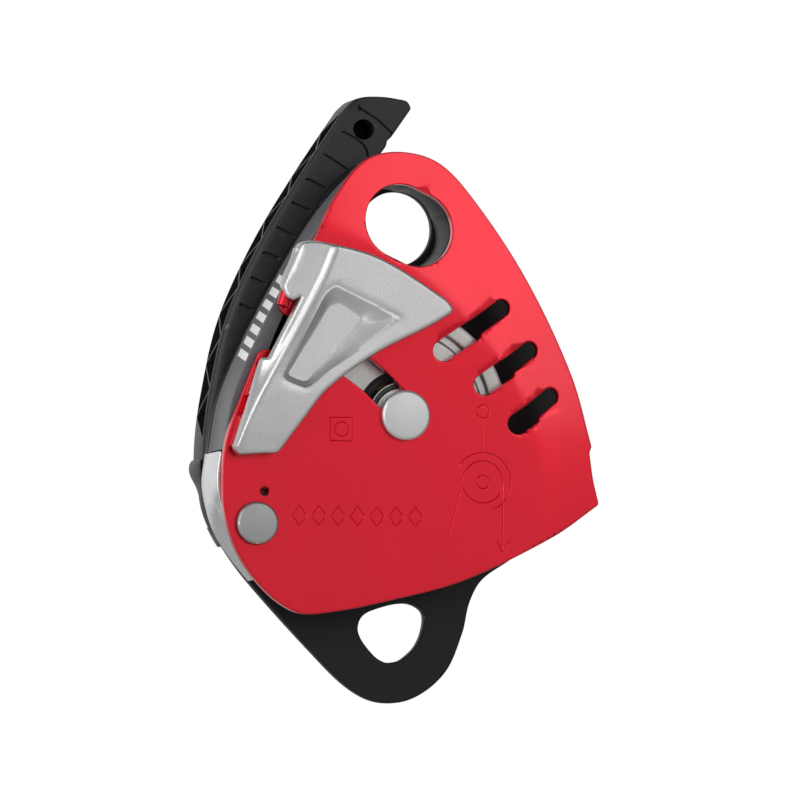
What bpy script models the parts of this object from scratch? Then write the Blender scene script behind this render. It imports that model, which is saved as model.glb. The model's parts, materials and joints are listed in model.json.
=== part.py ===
"""Rope descender for rescue work: a capstan sheave between two side plates.

Frame: X to the right and Z up in the plane of the plates, Y through them, the swinging plate in
front at negative Y. Outlines are written in millimetres from the axis of the anchor eye. The
object is placed so that its origin is the middle of the flat at the top of the eye, where the
anchor connector bears.
"""

import math

import bmesh
import bpy
from mathutils import Matrix, Vector

MM = 0.001
GAP = 0.35  # running clearance between neighbouring pieces

# Layers through the descender, from the front (negative Y) to the back.
SIDE_FRONT = -14.75
SIDE_BACK = -11.25
REAR_FRONT = 11.25
REAR_BACK = 15.25
INNER = 10.9  # half the width of what stands between the plates
HEAD_FRONT = -17.6
HEAD_BACK = -15.1
HANDLE_FRONT = 15.65
HANDLE_WEB_BACK = 22.0
HANDLE_BACK = 33.0
THROUGH = 2.0  # how far a cutter stands out of what it cuts

# Axes, as x and z from the axis of the anchor eye.
EYE = (0.0, 0.0)
AXLE = (-4.2, -69.5)
PIVOT = (-59.3, -109.0)

# Anchor eye.
EYE_RADIUS = 13.5
EYE_SIDES = 40
EYE_FLAT = EYE_RADIUS * math.cos(math.pi / EYE_SIDES)
EYE_PLAY = ((-5.0, 0.6), (0.9, -2.1))  # ends of the long hole in the swinging plate
EYE_WALL = 3.0

# The swinging plate leans inwards outside this circle about its pivot.
LEAN_RADIUS = 110.0
LEAN_SLOPE = 0.11
LEAN_GAP = 0.6
LEAN_ANGLES = [math.radians(a) for a in (-4, 10, 24, 38, 52, 66, 80)]

# Slot that lets the plate pass over the neck of the main axle.
SLOT_RADIUS = math.dist(AXLE, PIVOT)
SLOT_START = math.atan2(AXLE[1] - PIVOT[1], AXLE[0] - PIVOT[0])
SLOT_END = math.radians(100)
SLOT_HALF = 5.4
NECK_RADIUS = 5.0
HEAD_RADIUS = 9.0
STUD_RADIUS = 6.0
STUD_END = 24.2
WASHER_RADIUS = 11.5
WASHER_BACK = 17.2
AXLE_NUT = (10.4, 17.5, 23.0)  # radius over its corners, front and back

# Long holes beside the sheave: upper end, lower end, end of the wide foot.
VENT_RADIUS = 3.1
FOOT_RADIUS = 3.8
VENTS = [
    ((32.6, -29.9), (10.3, -45.9), (21.0, -38.7)),
    ((43.0, -45.0), (25.6, -57.9), (33.6, -52.4)),
    ((50.9, -61.6), (38.3, -71.8), (43.0, -68.6)),
]

# Lower left pivot.
PIVOT_RADIUS = 5.0
PIVOT_HEAD_RADIUS = 7.6
PIVOT_END = 27.1
PIVOT_NUT = (7.8, 22.4, 26.2)
BUSH_INNER = PIVOT_RADIUS + 0.3
PLATE_BORE = 7.3
HANDLE_BORE = 6.6
DETENT = (-56.2, -97.6)
DETENT_RADIUS = 1.2

# Countersunk screws that hold the housing and the insert to the rear plate.
FRAME_SCREWS = [(-63.6, -72.0), (-58.8, -53.6), (-50.6, -34.6), (-26.4, 4.6), (-65.6, -92.0)]
SCREW_END = 3.0
SCREW_RADIUS = 1.5
SCREW_HEAD = 3.2
SOCKET_RADIUS = 1.4

# Boss of the insert around the lower left pivot, and the rope's scoop in its outer side.
BOSS_BACK = -5.4
SCOOP_CENTRE = (-18.4, -83.8)
SCOOP_INNER = 56.2
SCOOP_ROUNDING = 20.0
SCOOP_Y = -5.0
SCOOP_SIDES = 48

# Sheave and its bearing.
SHEAVE_RADIUS = 40.0
SHEAVE_HALF = 9.5
GROOVE_RADIUS = 28.0
JOURNAL_RADIUS = 10.0
BEARING_OUTER = 16.0
BEARING_FRONT = -6.0
BEARING_BACK = 1.0
RECESS_RADIUS = 25.3
RECESS_FLOOR = 2.6
TEETH = 24
TOOTH_TIP = 20.5
TOOTH_ROOT = 22.4
PAWL_CIRCLE = 14.6
PAWL_LENGTH = 11.6
PAWL_LEAN = math.radians(88)
PAWL_START = math.radians(94)
PAWL_FRONT = 3.4
PAWL_BACK = 6.8
PAWL_PIN = 1.5
PAWL_BORE = 1.8
CARRIER_RADIUS = 19.0
CARRIER_FRONT = 7.2

# Brake under the sheave: hub of its arm, and the shoe as a band about the main axle.
ARM_HUB = 7.8
ARM_BORE = 6.6
ARM_FRONT = -4.6
ARM_BACK = 8.0
SHOE_OUTER = 47.6
SHOE_INNER = 42.4
SHOE_ANGLES = [math.radians(a) for a in (236, 242, 248, 254, 260)]
SHOE_PINS = [math.radians(a) for a in (241, 255)]
SHOE_MIDDLE = 1.7

# Gate hinge: an axis in front of the plate along the gate's left edge.
HINGE_LOW = (-66.6, -82.0)
HINGE_HIGH = (-47.0, -20.0)
HINGE_Y = -17.4
HINGE_BARREL = 2.3
HINGE_PIN = 0.9
HINGE_BORE = 1.2
# Levels of each bracket, of the gate's barrel beside it, and of its pin.
HINGES = {
    "lower": ((-70.4, -64.4), (-82.0, -53.2), (-80.0, -56.0)),
    "upper": ((-31.2, -25.8), (-25.2, -11.0), (-30.6, -13.0)),
}
BRACKET_FOOT = 3.0  # how far a bracket's foot reaches to the right of the hinge
FOOT_ROOM = 1.4
GATE_FRONT = -23.5
GATE_BACK = -15.05
GATE_ROOF = -18.3
POCKET_FLOOR = -20.0
LUG_ANGLE = math.radians(64)
LUG_RADIUS = 3.6
LUG_END = -13.8

# Handle.
LANYARD_DEPTH = 12.0
RIB_STEPS = 15
RIB_INSET = 1.6
RIB_DEPTH = 6.0
RIB_MARGINS = (2.6, 3.0)  # from the handle's front and back

ROUND = 32  # sides of a turned piece
PIN_SIDES = 20

# Outlines: (x, z) is a point on a smooth curve, (x, z, cut) is a corner rounded by that much.
SIDE_OUTLINE = [
    (-18.2, 22.6), (-5.0, 26.0), (9.5, 22.6), (21.7, 10.9), (42.1, -18.6), (59.2, -53.4),
    (66.9, -79.5, 0.8), (66.0, -81.6, 0.6), (67.4, -91.5), (69.6, -100.4, 1.2),
    (51.8, -112.4), (17.7, -128.7), (-11.4, -136.5), (-32.2, -140.6), (-44.2, -140.7),
    (-56.2, -132.9), (-66.3, -119.5), (-71.1, -104.7), (-71.8, -93.0), (-70.6, -80.0),
    (-65.7, -65.4), (-58.8, -48.6, 1.5), (-50.4, -31.6, 1.5), (-38.2, -7.5), (-29.6, 9.2),
]
REAR_OUTLINE = [
    (-19.4, 19.4), (0.0, 27.5), (19.4, 19.4), (35.0, -1.0), (54.5, -35.5), (65.5, -67.0),
    (68.0, -92.0), (61.0, -107.5), (42.4, -120.3), (32.5, -127.2), (27.9, -135.3),
    (25.1, -146.7), (18.5, -161.0), (6.3, -170.4), (-6.5, -171.9), (-17.8, -166.8),
    (-32.0, -153.6), (-54.4, -129.8), (-63.6, -118.0), (-69.2, -107.6), (-71.6, -94.0),
    (-70.2, -79.8), (-67.0, -63.0), (-58.6, -42.5), (-47.6, -21.6), (-33.8, 1.1),
]
BECKET_OUTLINE = [
    (-9.5, -138.9), (3.0, -136.0), (9.4, -138.4), (10.4, -143.0), (7.6, -151.0),
    (2.0, -156.3), (-1.2, -157.3, 0.0), (-4.4, -157.3, 0.0), (-8.6, -154.6), (-13.9, -147.2),
    (-13.4, -142.0),
]
GATE_OUTLINE = [
    (-69.4, -82.6, 1.2), (-66.8, -85.0, 1.0), (-57.8, -84.3), (-52.9, -84.3, 1.8),
    (-43.2, -71.4), (-34.7, -60.9), (-17.3, -48.2), (4.7, -36.9), (12.9, -31.9, 2.4),
    (9.8, -28.0, 2.0), (-7.2, -17.5), (-19.2, -12.0), (-32.0, -9.0), (-40.2, -7.7),
    (-45.1, -8.9), (-47.8, -13.0), (-49.4, -16.8), (-51.4, -23.6), (-49.8, -28.4, 1.0),
    (-47.3, -29.4, 0.8), (-44.8, -28.0, 0.6), (-56.2, -49.8, 0.5), (-58.9, -50.2, 0.6),
]
POCKET_OUTLINE = [
    (-33.6, -27.0, 2.0), (-14.0, -34.4, 3.0), (-43.4, -58.6, 3.0), (-48.6, -56.4, 2.5),
]
MOUTH_OUTLINE = [
    (-43.0, -37.6), (-48.0, -34.3), (-49.9, -32.9), (-50.6, -31.4), (-50.5, -29.6, 0.1),
    (-64.0, -34.0, 0.1), (-64.0, -52.8, 0.1), (-60.8, -52.8, 0.1), (-60.1, -50.4), (-58.7, -48.0),
    (-56.2, -46.6), (-44.0, -43.8),
]
HOUSING_OUTER = [
    (-70.6, -82.6), (-67.0, -63.4), (-58.4, -42.7), (-47.4, -21.8), (-33.6, 0.9),
    (-20.6, 16.8), (-9.6, 24.8),
]
HOUSING_INNER = [
    (-61.6, -82.6), (-58.6, -63.0), (-51.2, -40.6), (-41.6, -22.0), (-27.4, -1.0),
    (-17.6, 14.0), (-8.4, 20.8),
]
INSERT_OUTER = [
    (-71.9, -83.2), (-73.1, -94.0), (-71.3, -104.0), (-68.1, -112.4), (-63.2, -119.8), (-55.9, -128.6),
]
INSERT_INNER = [(-61.8, -83.2), (-61.6, -92.0), (-64.9, -104.4), (-60.0, -117.6), (-50.6, -124.6)]
BOSS_OUTLINE = [
    (-66.0, -90.0), (-52.4, -92.6), (-48.8, -108.8), (-49.4, -119.0), (-56.0, -124.6),
    (-64.6, -114.0),
]
ARM_OUTLINE = [
    (-57.5, -117.0), (-40.0, -124.6), (-14.0, -130.0), (-8.8, -128.0), (-9.6, -123.6),
    (-30.0, -117.6), (-51.4, -102.0),
]
HANDLE_FOOT = [
    (-70.8, -84.0), (-71.6, -94.0), (-70.4, -102.6), (-67.2, -110.2), (-62.6, -115.8),
    (-57.6, -117.6), (-51.4, -116.0), (-48.4, -108.0), (-50.6, -84.0),
]
LANYARD_OUTLINE = [
    (-14.2, 38.6), (-10.6, 40.4), (-7.2, 38.2), (-7.4, 34.2), (-11.0, 32.6), (-14.4, 34.6),
]
HANDLE_OUTLINE = [
    (-17.6, 44.2, 1.0), (-13.0, 47.8, 1.5), (-3.6, 48.6), (5.9, 47.4, 1.5), (7.3, 44.6, 1.0),
    (-0.2, 34.0, 0.6), (-1.8, 32.6, 0.6), (-2.2, 30.6, 0.6), (-18.1, 8.8), (-32.5, -15.3),
    (-42.8, -37.9), (-49.6, -65.3), (-51.4, -96.0, 2.5), (-70.8, -96.0, 3.0),
    (-70.6, -78.0), (-68.4, -61.0), (-62.0, -33.4), (-49.7, -6.1), (-34.3, 19.5),
]
# Steps along the outer edge of the handle, from the bottom up, for its ribs.
HANDLE_EDGE = [
    (-70.6, -78.0), (-68.4, -61.0), (-62.0, -33.4), (-49.7, -6.1), (-34.3, 19.5), (-18.6, 42.6),
]


def srgb(red, green, blue):
    """Linear colour from 8-bit screen values."""
    def linear(value):
        value /= 255
        return value / 12.92 if value <= 0.04045 else ((value + 0.055) / 1.055) ** 2.4
    return (linear(red), linear(green), linear(blue), 1.0)


def material(name, colour, roughness, metallic):
    made = bpy.data.materials.new(name)
    made.use_nodes = True
    shader = made.node_tree.nodes["Principled BSDF"]
    shader.inputs["Base Color"].default_value = colour
    shader.inputs["Roughness"].default_value = roughness
    shader.inputs["Metallic"].default_value = metallic
    return made


RED = (srgb(205, 25, 45), 0.35, 0.35)
BLACK_PLATE = (srgb(36, 37, 39), 0.45, 0.2)
SATIN = (srgb(190, 190, 190), 0.4, 1.0)
POLISHED = (srgb(215, 215, 218), 0.18, 1.0)
STEEL = (srgb(165, 165, 168), 0.3, 1.0)
DARK_STEEL = (srgb(70, 72, 75), 0.4, 0.9)
GREY = (srgb(100, 100, 103), 0.5, 0.1)
NYLON = (srgb(42, 42, 45), 0.6, 0.0)
RUBBER = (srgb(25, 25, 26), 0.7, 0.0)
BRASS = (srgb(190, 150, 90), 0.35, 1.0)


def polar(centre, radius, angle):
    return (centre[0] + radius * math.cos(angle), centre[1] + radius * math.sin(angle))


def mix(a, b, share):
    return tuple(p + (q - p) * share for p, q in zip(a, b))


def curve_piece(before, start, end, after):
    """Points from start up to end on a smooth curve, more of them where it turns more."""
    size = math.dist(start, end)
    leave = Vector(end) - Vector(before)
    arrive = Vector(after) - Vector(start)
    leave = leave.normalized() * size if leave.length else Vector(end) - Vector(start)
    arrive = arrive.normalized() * size if arrive.length else Vector(end) - Vector(start)
    turn = leave.angle(arrive) + leave.angle(Vector(end) - Vector(start))
    steps = max(1, round(turn / math.radians(13)))
    made = []
    for i in range(steps):
        t = i / steps
        place = (
            Vector(start) * (2 * t**3 - 3 * t**2 + 1) + leave * (t**3 - 2 * t**2 + t)
            + Vector(end) * (3 * t**2 - 2 * t**3) + arrive * (t**3 - t**2)
        )
        made.append((place.x, place.y))
    return made


def closed(points):
    """The closed line through an outline's points, its corners rounded."""
    count = len(points)
    line = []
    corner_at = {}
    for i, point in enumerate(points):
        start, end = point[:2], points[(i + 1) % count][:2]
        before = start if len(point) == 3 else points[i - 1][:2]
        after = end if len(points[(i + 1) % count]) == 3 else points[(i + 2) % count][:2]
        if len(point) == 3:
            corner_at[len(line)] = point[2]
        line += curve_piece(before, start, end, after)
    made = []
    for i, place in enumerate(line):
        cut = corner_at.get(i, 0.0)
        if cut == 0.0:
            made.append(place)
            continue
        back, ahead = line[i - 1], line[(i + 1) % len(line)]
        entry = mix(place, back, min(cut, 0.45 * math.dist(place, back)) / math.dist(place, back))
        leave = mix(place, ahead, min(cut, 0.45 * math.dist(place, ahead)) / math.dist(place, ahead))
        for t in (0.0, 0.33, 0.67, 1.0):
            made.append(mix(mix(entry, place, t), mix(place, leave, t), t))
    return made


def circle(centre, radius, sides=ROUND):
    """A regular polygon with a flat side at the top."""
    turn = 2 * math.pi / sides
    return [polar(centre, radius, math.pi / 2 + turn * (i + 0.5)) for i in range(sides)]


def capsule(start, end, radius, sides=24):
    """The outline of a slot with round ends."""
    along = math.atan2(end[1] - start[1], end[0] - start[0])
    half = sides // 2
    ends = ((end, along - math.pi / 2), (start, along + math.pi / 2))
    return [polar(c, radius, a + math.pi * i / half) for c, a in ends for i in range(half + 1)]


def sector(radius_in, radius_out, start, end, steps=18):
    """A band about the pivot, between two angles."""
    angles = [start + (end - start) * i / steps for i in range(steps + 1)]
    outer = [polar(PIVOT, radius_out, a) for a in angles]
    inner = [polar(PIVOT, radius_in, a) for a in reversed(angles)]
    return outer + inner


def band(outer, inner):
    """The closed outline between two open lines that run the same way."""
    return outer + inner[::-1]


def open_curve(points):
    """A smooth open line through the points."""
    line = []
    for i in range(len(points) - 1):
        before = points[max(i - 1, 0)]
        after = points[min(i + 2, len(points) - 1)]
        line += curve_piece(before, points[i], points[i + 1], after)
    return line + [points[-1]]


def place(x, y, z):
    """World position of a point given in millimetres from the eye's axis."""
    return Vector((x, y, z - EYE_FLAT)) * MM


def lean(x, z):
    """How far back the swinging plate leans at a point."""
    reach = max((x - PIVOT[0]) * math.cos(a) + (z - PIVOT[1]) * math.sin(a) for a in LEAN_ANGLES)
    return LEAN_SLOPE * max(0.0, reach - LEAN_RADIUS)


def finish(bm):
    bmesh.ops.remove_doubles(bm, verts=bm.verts, dist=1e-7)
    bmesh.ops.recalc_face_normals(bm, faces=bm.faces)
    if bm.calc_volume(signed=True) < 0:
        bmesh.ops.reverse_faces(bm, faces=bm.faces)
    return bm


def prism(outline, front, back, chamfer_front=0.0, chamfer_back=0.0):
    """A solid with this outline between two values of Y, its rims chamfered."""
    bm = bmesh.new()
    rings = []
    for y in (front, back):
        rings.append([bm.verts.new(place(x, y, z)) for x, z in outline])
    bm.faces.new(rings[0])
    bm.faces.new(rings[1])
    count = len(outline)
    for i in range(count):
        j = (i + 1) % count
        bm.faces.new((rings[0][i], rings[0][j], rings[1][j], rings[1][i]))
    finish(bm)
    for y, width in ((front, chamfer_front), (back, chamfer_back)):
        if width > 0:
            rim = [e for e in bm.edges if all(abs(v.co.y - y * MM) < 1e-7 for v in e.verts)]
            bmesh.ops.bevel(bm, geom=rim, offset=width * MM, segments=1, affect="EDGES")
    return finish(bm)


def turned(centre, profile, sides=ROUND):
    """A body turned about a Y axis from (radius, y) pairs; a profile off the axis makes a ring."""
    return along_axis(profile, Matrix.Translation(place(centre[0], 0, centre[1])), sides)


def along_axis(profile, frame, sides=ROUND):
    """A turned body whose own axis is the Y axis of a frame."""
    solid = profile[0][0] == 0
    bm = bmesh.new()
    rings = []
    for radius, y in profile:
        if radius == 0:
            rings.append([bm.verts.new(frame @ Vector((0, y * MM, 0)))])
            continue
        ring = []
        for x, z in circle((0, 0), radius, sides):
            ring.append(bm.verts.new(frame @ Vector((x * MM, y * MM, z * MM))))
        rings.append(ring)
    pairs = list(zip(rings, rings[1:]))
    if not solid:
        pairs.append((rings[-1], rings[0]))
    for one, two in pairs:
        for i in range(sides):
            j = (i + 1) % sides
            corners = [one[i % len(one)], one[j % len(one)], two[j % len(two)], two[i % len(two)]]
            corners = list(dict.fromkeys(corners))
            if len(corners) > 2:
                bm.faces.new(corners)
    return finish(bm)


def ring(centre, inner, outer, front, back, sides=ROUND):
    """A washer or a sleeve."""
    return turned(centre, [(inner, front), (outer, front), (outer, back), (inner, back)], sides)


def bent(bm):
    """Leans the mesh of the swinging plate inwards outside its circle."""
    for angle in LEAN_ANGLES:
        normal = Vector((math.cos(angle), 0, math.sin(angle)))
        reach = LEAN_RADIUS * MM
        origin = place(PIVOT[0], 0, PIVOT[1]) + normal * reach
        geometry = bm.verts[:] + bm.edges[:] + bm.faces[:]
        bmesh.ops.bisect_plane(bm, geom=geometry, dist=1e-7, plane_co=origin, plane_no=normal)
    for one, two in zip(LEAN_ANGLES, LEAN_ANGLES[1:]):
        middle = (one + two) / 2 + math.pi / 2
        normal = Vector((math.cos(middle), 0, math.sin(middle)))
        origin = place(PIVOT[0], 0, PIVOT[1])
        geometry = bm.verts[:] + bm.edges[:] + bm.faces[:]
        bmesh.ops.bisect_plane(bm, geom=geometry, dist=1e-7, plane_co=origin, plane_no=normal)
    for vertex in bm.verts:
        x, z = vertex.co.x / MM, vertex.co.z / MM + EYE_FLAT
        vertex.co.y += lean(x, z) * MM
    return finish(bm)


def add(name, bm, look, parent=None):
    """Puts a mesh in the scene as a named object with its own material."""
    mesh = bpy.data.meshes.new(name)
    bm.to_mesh(mesh)
    bm.free()
    made = bpy.data.objects.new(name, mesh)
    bpy.context.collection.objects.link(made)
    mesh.materials.append(material(name, *look))
    mesh.shade_smooth()
    mesh.set_sharp_from_angle(angle=math.radians(30))
    if parent:
        made.parent = parent
        made.matrix_parent_inverse = Matrix.Translation(parent.location).inverted()
    return made


def boolean(made, tool_mesh, operation, solver):
    """Applies one Boolean and drops its tool."""
    mesh = bpy.data.meshes.new("tool")
    tool_mesh.to_mesh(mesh)
    tool_mesh.free()
    tool = bpy.data.objects.new("tool", mesh)
    bpy.context.collection.objects.link(tool)
    modifier = made.modifiers.new("shape", "BOOLEAN")
    modifier.operation = operation
    modifier.solver = solver
    modifier.object = tool
    bpy.context.view_layer.update()
    graph = bpy.context.evaluated_depsgraph_get()
    shaped = bpy.data.meshes.new_from_object(made.evaluated_get(graph))
    made.modifiers.remove(modifier)
    old = made.data
    made.data = shaped
    shaped.name = made.name
    bpy.data.meshes.remove(old)
    bpy.data.objects.remove(tool)
    bpy.data.meshes.remove(mesh)
    shaped.set_sharp_from_angle(angle=math.radians(30))


def cut(made, tool, solver="EXACT"):
    boolean(made, tool, "DIFFERENCE", solver)


def join(made, tool):
    boolean(made, tool, "UNION", "EXACT")


def axis_empty(name, x, y, z):
    made = bpy.data.objects.new(name, None)
    made.location = place(x, y, z)
    made.empty_display_size = 0.01
    bpy.context.collection.objects.link(made)
    return made


def under_lean(made, gap):
    """Keeps a piece between the plates clear of the leaning part of the swinging plate."""
    for vertex in made.data.vertices:
        x, z = vertex.co.x / MM, vertex.co.z / MM + EYE_FLAT
        if vertex.co.y < 0:
            floor = (SIDE_BACK + lean(x, z) + gap) * MM
            vertex.co.y = max(vertex.co.y, floor)


# The fixed frame: rear plate, housing, insert, eye bush and their screws.

def rear_side_plate():
    plate = add("rear_side_plate", prism(closed(REAR_OUTLINE), REAR_FRONT, REAR_BACK), BLACK_PLATE)
    front, back = REAR_FRONT - THROUGH, REAR_BACK + THROUGH
    cut(plate, prism(circle(EYE, EYE_RADIUS, EYE_SIDES), front, back))
    cut(plate, prism(closed(BECKET_OUTLINE), front, back))
    cut(plate, prism(circle(AXLE, STUD_RADIUS + 0.3), front, back))
    cut(plate, prism(circle(PIVOT, BUSH_INNER), front, back))
    for centre in FRAME_SCREWS:
        cut(plate, screw_shape(centre, 0.3))


def screw_shape(centre, room):
    """A countersunk screw from the back; room widens it into the hole it sits in."""
    face = REAR_BACK - 0.1 + room
    shank, head = SCREW_RADIUS + room, SCREW_HEAD + room
    return turned(centre, [
        (0, SCREW_END - room), (shank, SCREW_END - room), (shank, REAR_BACK - 2.1),
        (head, REAR_BACK - 0.4), (head, face), (0, face),
    ], PIN_SIDES)


def frame_screws():
    for number, centre in enumerate(FRAME_SCREWS, 1):
        screw = add(f"frame_screw_{number}", screw_shape(centre, 0.0), DARK_STEEL)
        cut(screw, prism(circle(centre, SOCKET_RADIUS, 6), REAR_BACK - 1.5, REAR_BACK + 1))


def spine_housing():
    walls = band(open_curve(HOUSING_OUTER), open_curve(HOUSING_INNER))
    housing = add("spine_housing", prism(walls, -INNER, INNER), GREY)
    under_lean(housing, LEAN_GAP)
    for centre in FRAME_SCREWS[:4]:
        cut(housing, screw_shape(centre, 0.3))


def brake_channel_insert():
    walls = band(open_curve(INSERT_OUTER), open_curve(INSERT_INNER))
    insert = add("brake_channel_insert", prism(walls, -INNER, INNER), POLISHED)
    join(insert, prism(closed(BOSS_OUTLINE), -INNER, BOSS_BACK))
    cut(insert, prism(circle(PIVOT, BUSH_INNER), -INNER - THROUGH, 0))
    cut(insert, prism(circle(DETENT, DETENT_RADIUS + 0.3, PIN_SIDES), -INNER - THROUGH, BOSS_BACK - 1.2))
    cut(insert, prism(circle(PIVOT, ARM_HUB + 0.4), BOSS_BACK, INNER + THROUGH))
    cut(insert, screw_shape(FRAME_SCREWS[4], 0.3))
    middle = (SCOOP_INNER + SCOOP_ROUNDING, SCOOP_Y)
    scoop = [polar(middle, SCOOP_ROUNDING, 2 * math.pi * i / SCOOP_SIDES) for i in range(SCOOP_SIDES)]
    cut(insert, turned(SCOOP_CENTRE, scoop, 2 * SCOOP_SIDES))


def eye_bush():
    outer = capsule(EYE_PLAY[0], EYE, EYE_RADIUS + EYE_WALL, EYE_SIDES)
    bush = add("eye_bush", prism(outer, -INNER, INNER), DARK_STEEL)
    cut(bush, prism(circle(EYE, EYE_RADIUS, EYE_SIDES), -INNER - THROUGH, INNER + THROUGH))
    cut(bush, prism(capsule(*EYE_PLAY, EYE_RADIUS, EYE_SIDES), -INNER - THROUGH, INNER + THROUGH))
    under_lean(bush, LEAN_GAP)


def detent_pin():
    radius, front, back = DETENT_RADIUS, -INNER - 0.05, BOSS_BACK - 1.5
    profile = [(0, front), (radius - 0.3, front), (radius, front + 0.3), (radius, back), (0, back)]
    add("detent_pin", turned(DETENT, profile, PIN_SIDES), STEEL)


# Main axle, bearing and sheave.

def main_axle():
    add("main_axle", turned(AXLE, [
        (0, HEAD_FRONT), (HEAD_RADIUS - 0.9, HEAD_FRONT), (HEAD_RADIUS, HEAD_FRONT + 0.7),
        (HEAD_RADIUS, HEAD_BACK), (NECK_RADIUS, HEAD_BACK), (NECK_RADIUS, -INNER),
        (JOURNAL_RADIUS, -INNER), (JOURNAL_RADIUS, INNER), (STUD_RADIUS, INNER),
        (STUD_RADIUS, STUD_END - 0.6), (STUD_RADIUS - 0.6, STUD_END), (0, STUD_END),
    ]), SATIN)
    bore = STUD_RADIUS + 0.3
    add("axle_washer", ring(AXLE, bore, WASHER_RADIUS, REAR_BACK + 0.3, WASHER_BACK), STEEL)
    hexagon_nut("axle_nut", AXLE, AXLE_NUT, bore)


def hexagon_nut(name, centre, size, bore):
    corner, front, back = size
    nut = add(name, prism(circle(centre, corner, 6), front, back, 0.5, 0.5), DARK_STEEL)
    cut(nut, prism(circle(centre, bore), front - THROUGH, back + THROUGH))


def bearing(spin):
    inner = JOURNAL_RADIUS + 0.3
    front, back = BEARING_FRONT, BEARING_BACK
    add("axle_collar", ring(AXLE, inner, 12.2, -INNER, front - 0.3), SATIN)
    add("bearing_inner_race", ring(AXLE, inner, 12.0, front, back), STEEL)
    add("bearing_cage", ring(AXLE, 12.3, 14.0, front + 0.6, back - 0.6), BRASS, spin)
    add("bearing_outer_race", ring(AXLE, 14.3, BEARING_OUTER, front, back), STEEL, spin)
    add("bearing_seal", ring(AXLE, 12.6, BEARING_OUTER, front - 1.9, front - 0.3), RUBBER, spin)


def sheave(spin):
    front = [
        (BEARING_OUTER + 0.3, -9.2), (30.6, -9.2), (31.4, -8.2), (33.6, -8.2), (34.4, -SHEAVE_HALF),
        (39.2, -SHEAVE_HALF), (SHEAVE_RADIUS, -8.9), (SHEAVE_RADIUS, -7.6), (30.2, -4.0),
        (GROOVE_RADIUS, -2.0),
    ]
    rear = [
        (GROOVE_RADIUS, 2.0), (30.2, 4.0), (SHEAVE_RADIUS, 7.6), (SHEAVE_RADIUS, 8.8),
        (39.0, SHEAVE_HALF), (RECESS_RADIUS, SHEAVE_HALF), (RECESS_RADIUS, RECESS_FLOOR),
        (BEARING_OUTER + 0.3, RECESS_FLOOR),
    ]
    add("sheave", turned(AXLE, front + rear, 48), SATIN, spin)


def ratchet_ring(spin):
    outline = []
    for tooth in range(TEETH):
        start = 2 * math.pi * tooth / TEETH
        outline.append(polar(AXLE, TOOTH_TIP, start))
        outline.append(polar(AXLE, TOOTH_ROOT, start + 0.25 * 2 * math.pi / TEETH))
        outline.append(polar(AXLE, TOOTH_ROOT, start + 0.9 * 2 * math.pi / TEETH))
    ratchet = add("ratchet_ring", prism(circle(AXLE, RECESS_RADIUS - 0.3, 48), 3.0, 8.6), DARK_STEEL, spin)
    cut(ratchet, prism(outline, 1.0, 11.0))


def pawl_pivot(number):
    return polar(AXLE, PAWL_CIRCLE, PAWL_START + math.pi * number)


def pawl_tip(number):
    centre = pawl_pivot(number)
    out = math.atan2(centre[1] - AXLE[1], centre[0] - AXLE[0])
    return polar(centre, PAWL_LENGTH, out + PAWL_LEAN), out


def pawls():
    carrier = add("pawl_carrier", prism(circle(AXLE, CARRIER_RADIUS), CARRIER_FRONT, INNER, 0.3), STEEL)
    front, back = CARRIER_FRONT - THROUGH, INNER + THROUGH
    cut(carrier, prism(circle(AXLE, JOURNAL_RADIUS + 0.3), front, back))
    for number in range(2):
        centre = pawl_pivot(number)
        cut(carrier, prism(circle(centre, PAWL_BORE, PIN_SIDES), front, back))
        start, end = PAWL_FRONT - 0.2, INNER - 0.3
        shank = [(0, start), (PAWL_PIN, start), (PAWL_PIN, end), (0, end)]
        add(f"pawl_pin_{number + 1}", turned(centre, shank, PIN_SIDES), STEEL)
        pawl(number, centre, axis_empty(f"pawl_axis_{number + 1}", centre[0], 0, centre[1]))


def pawl(number, centre, axis):
    """A hub round the pin with a beak that reaches for the ratchet's teeth."""
    tip, out = pawl_tip(number)
    side = out + PAWL_LEAN + math.pi / 2
    hub = capsule(centre, mix(centre, tip, 0.25), 2.9, PIN_SIDES)
    made = add(f"pawl_{number + 1}", prism(hub, PAWL_FRONT, PAWL_BACK), DARK_STEEL, axis)
    beak = [
        polar(centre, 2.2, side), polar(centre, 2.2, side + math.pi),
        polar(tip, 0.9, side + math.pi), polar(tip, 0.5, side),
    ]
    join(made, prism(beak, PAWL_FRONT, PAWL_BACK))
    bore = circle(centre, PAWL_BORE, PIN_SIDES)
    cut(made, prism(bore, PAWL_FRONT - THROUGH, PAWL_BACK + THROUGH))


# Brake arm under the sheave, worked by the handle.

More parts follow.
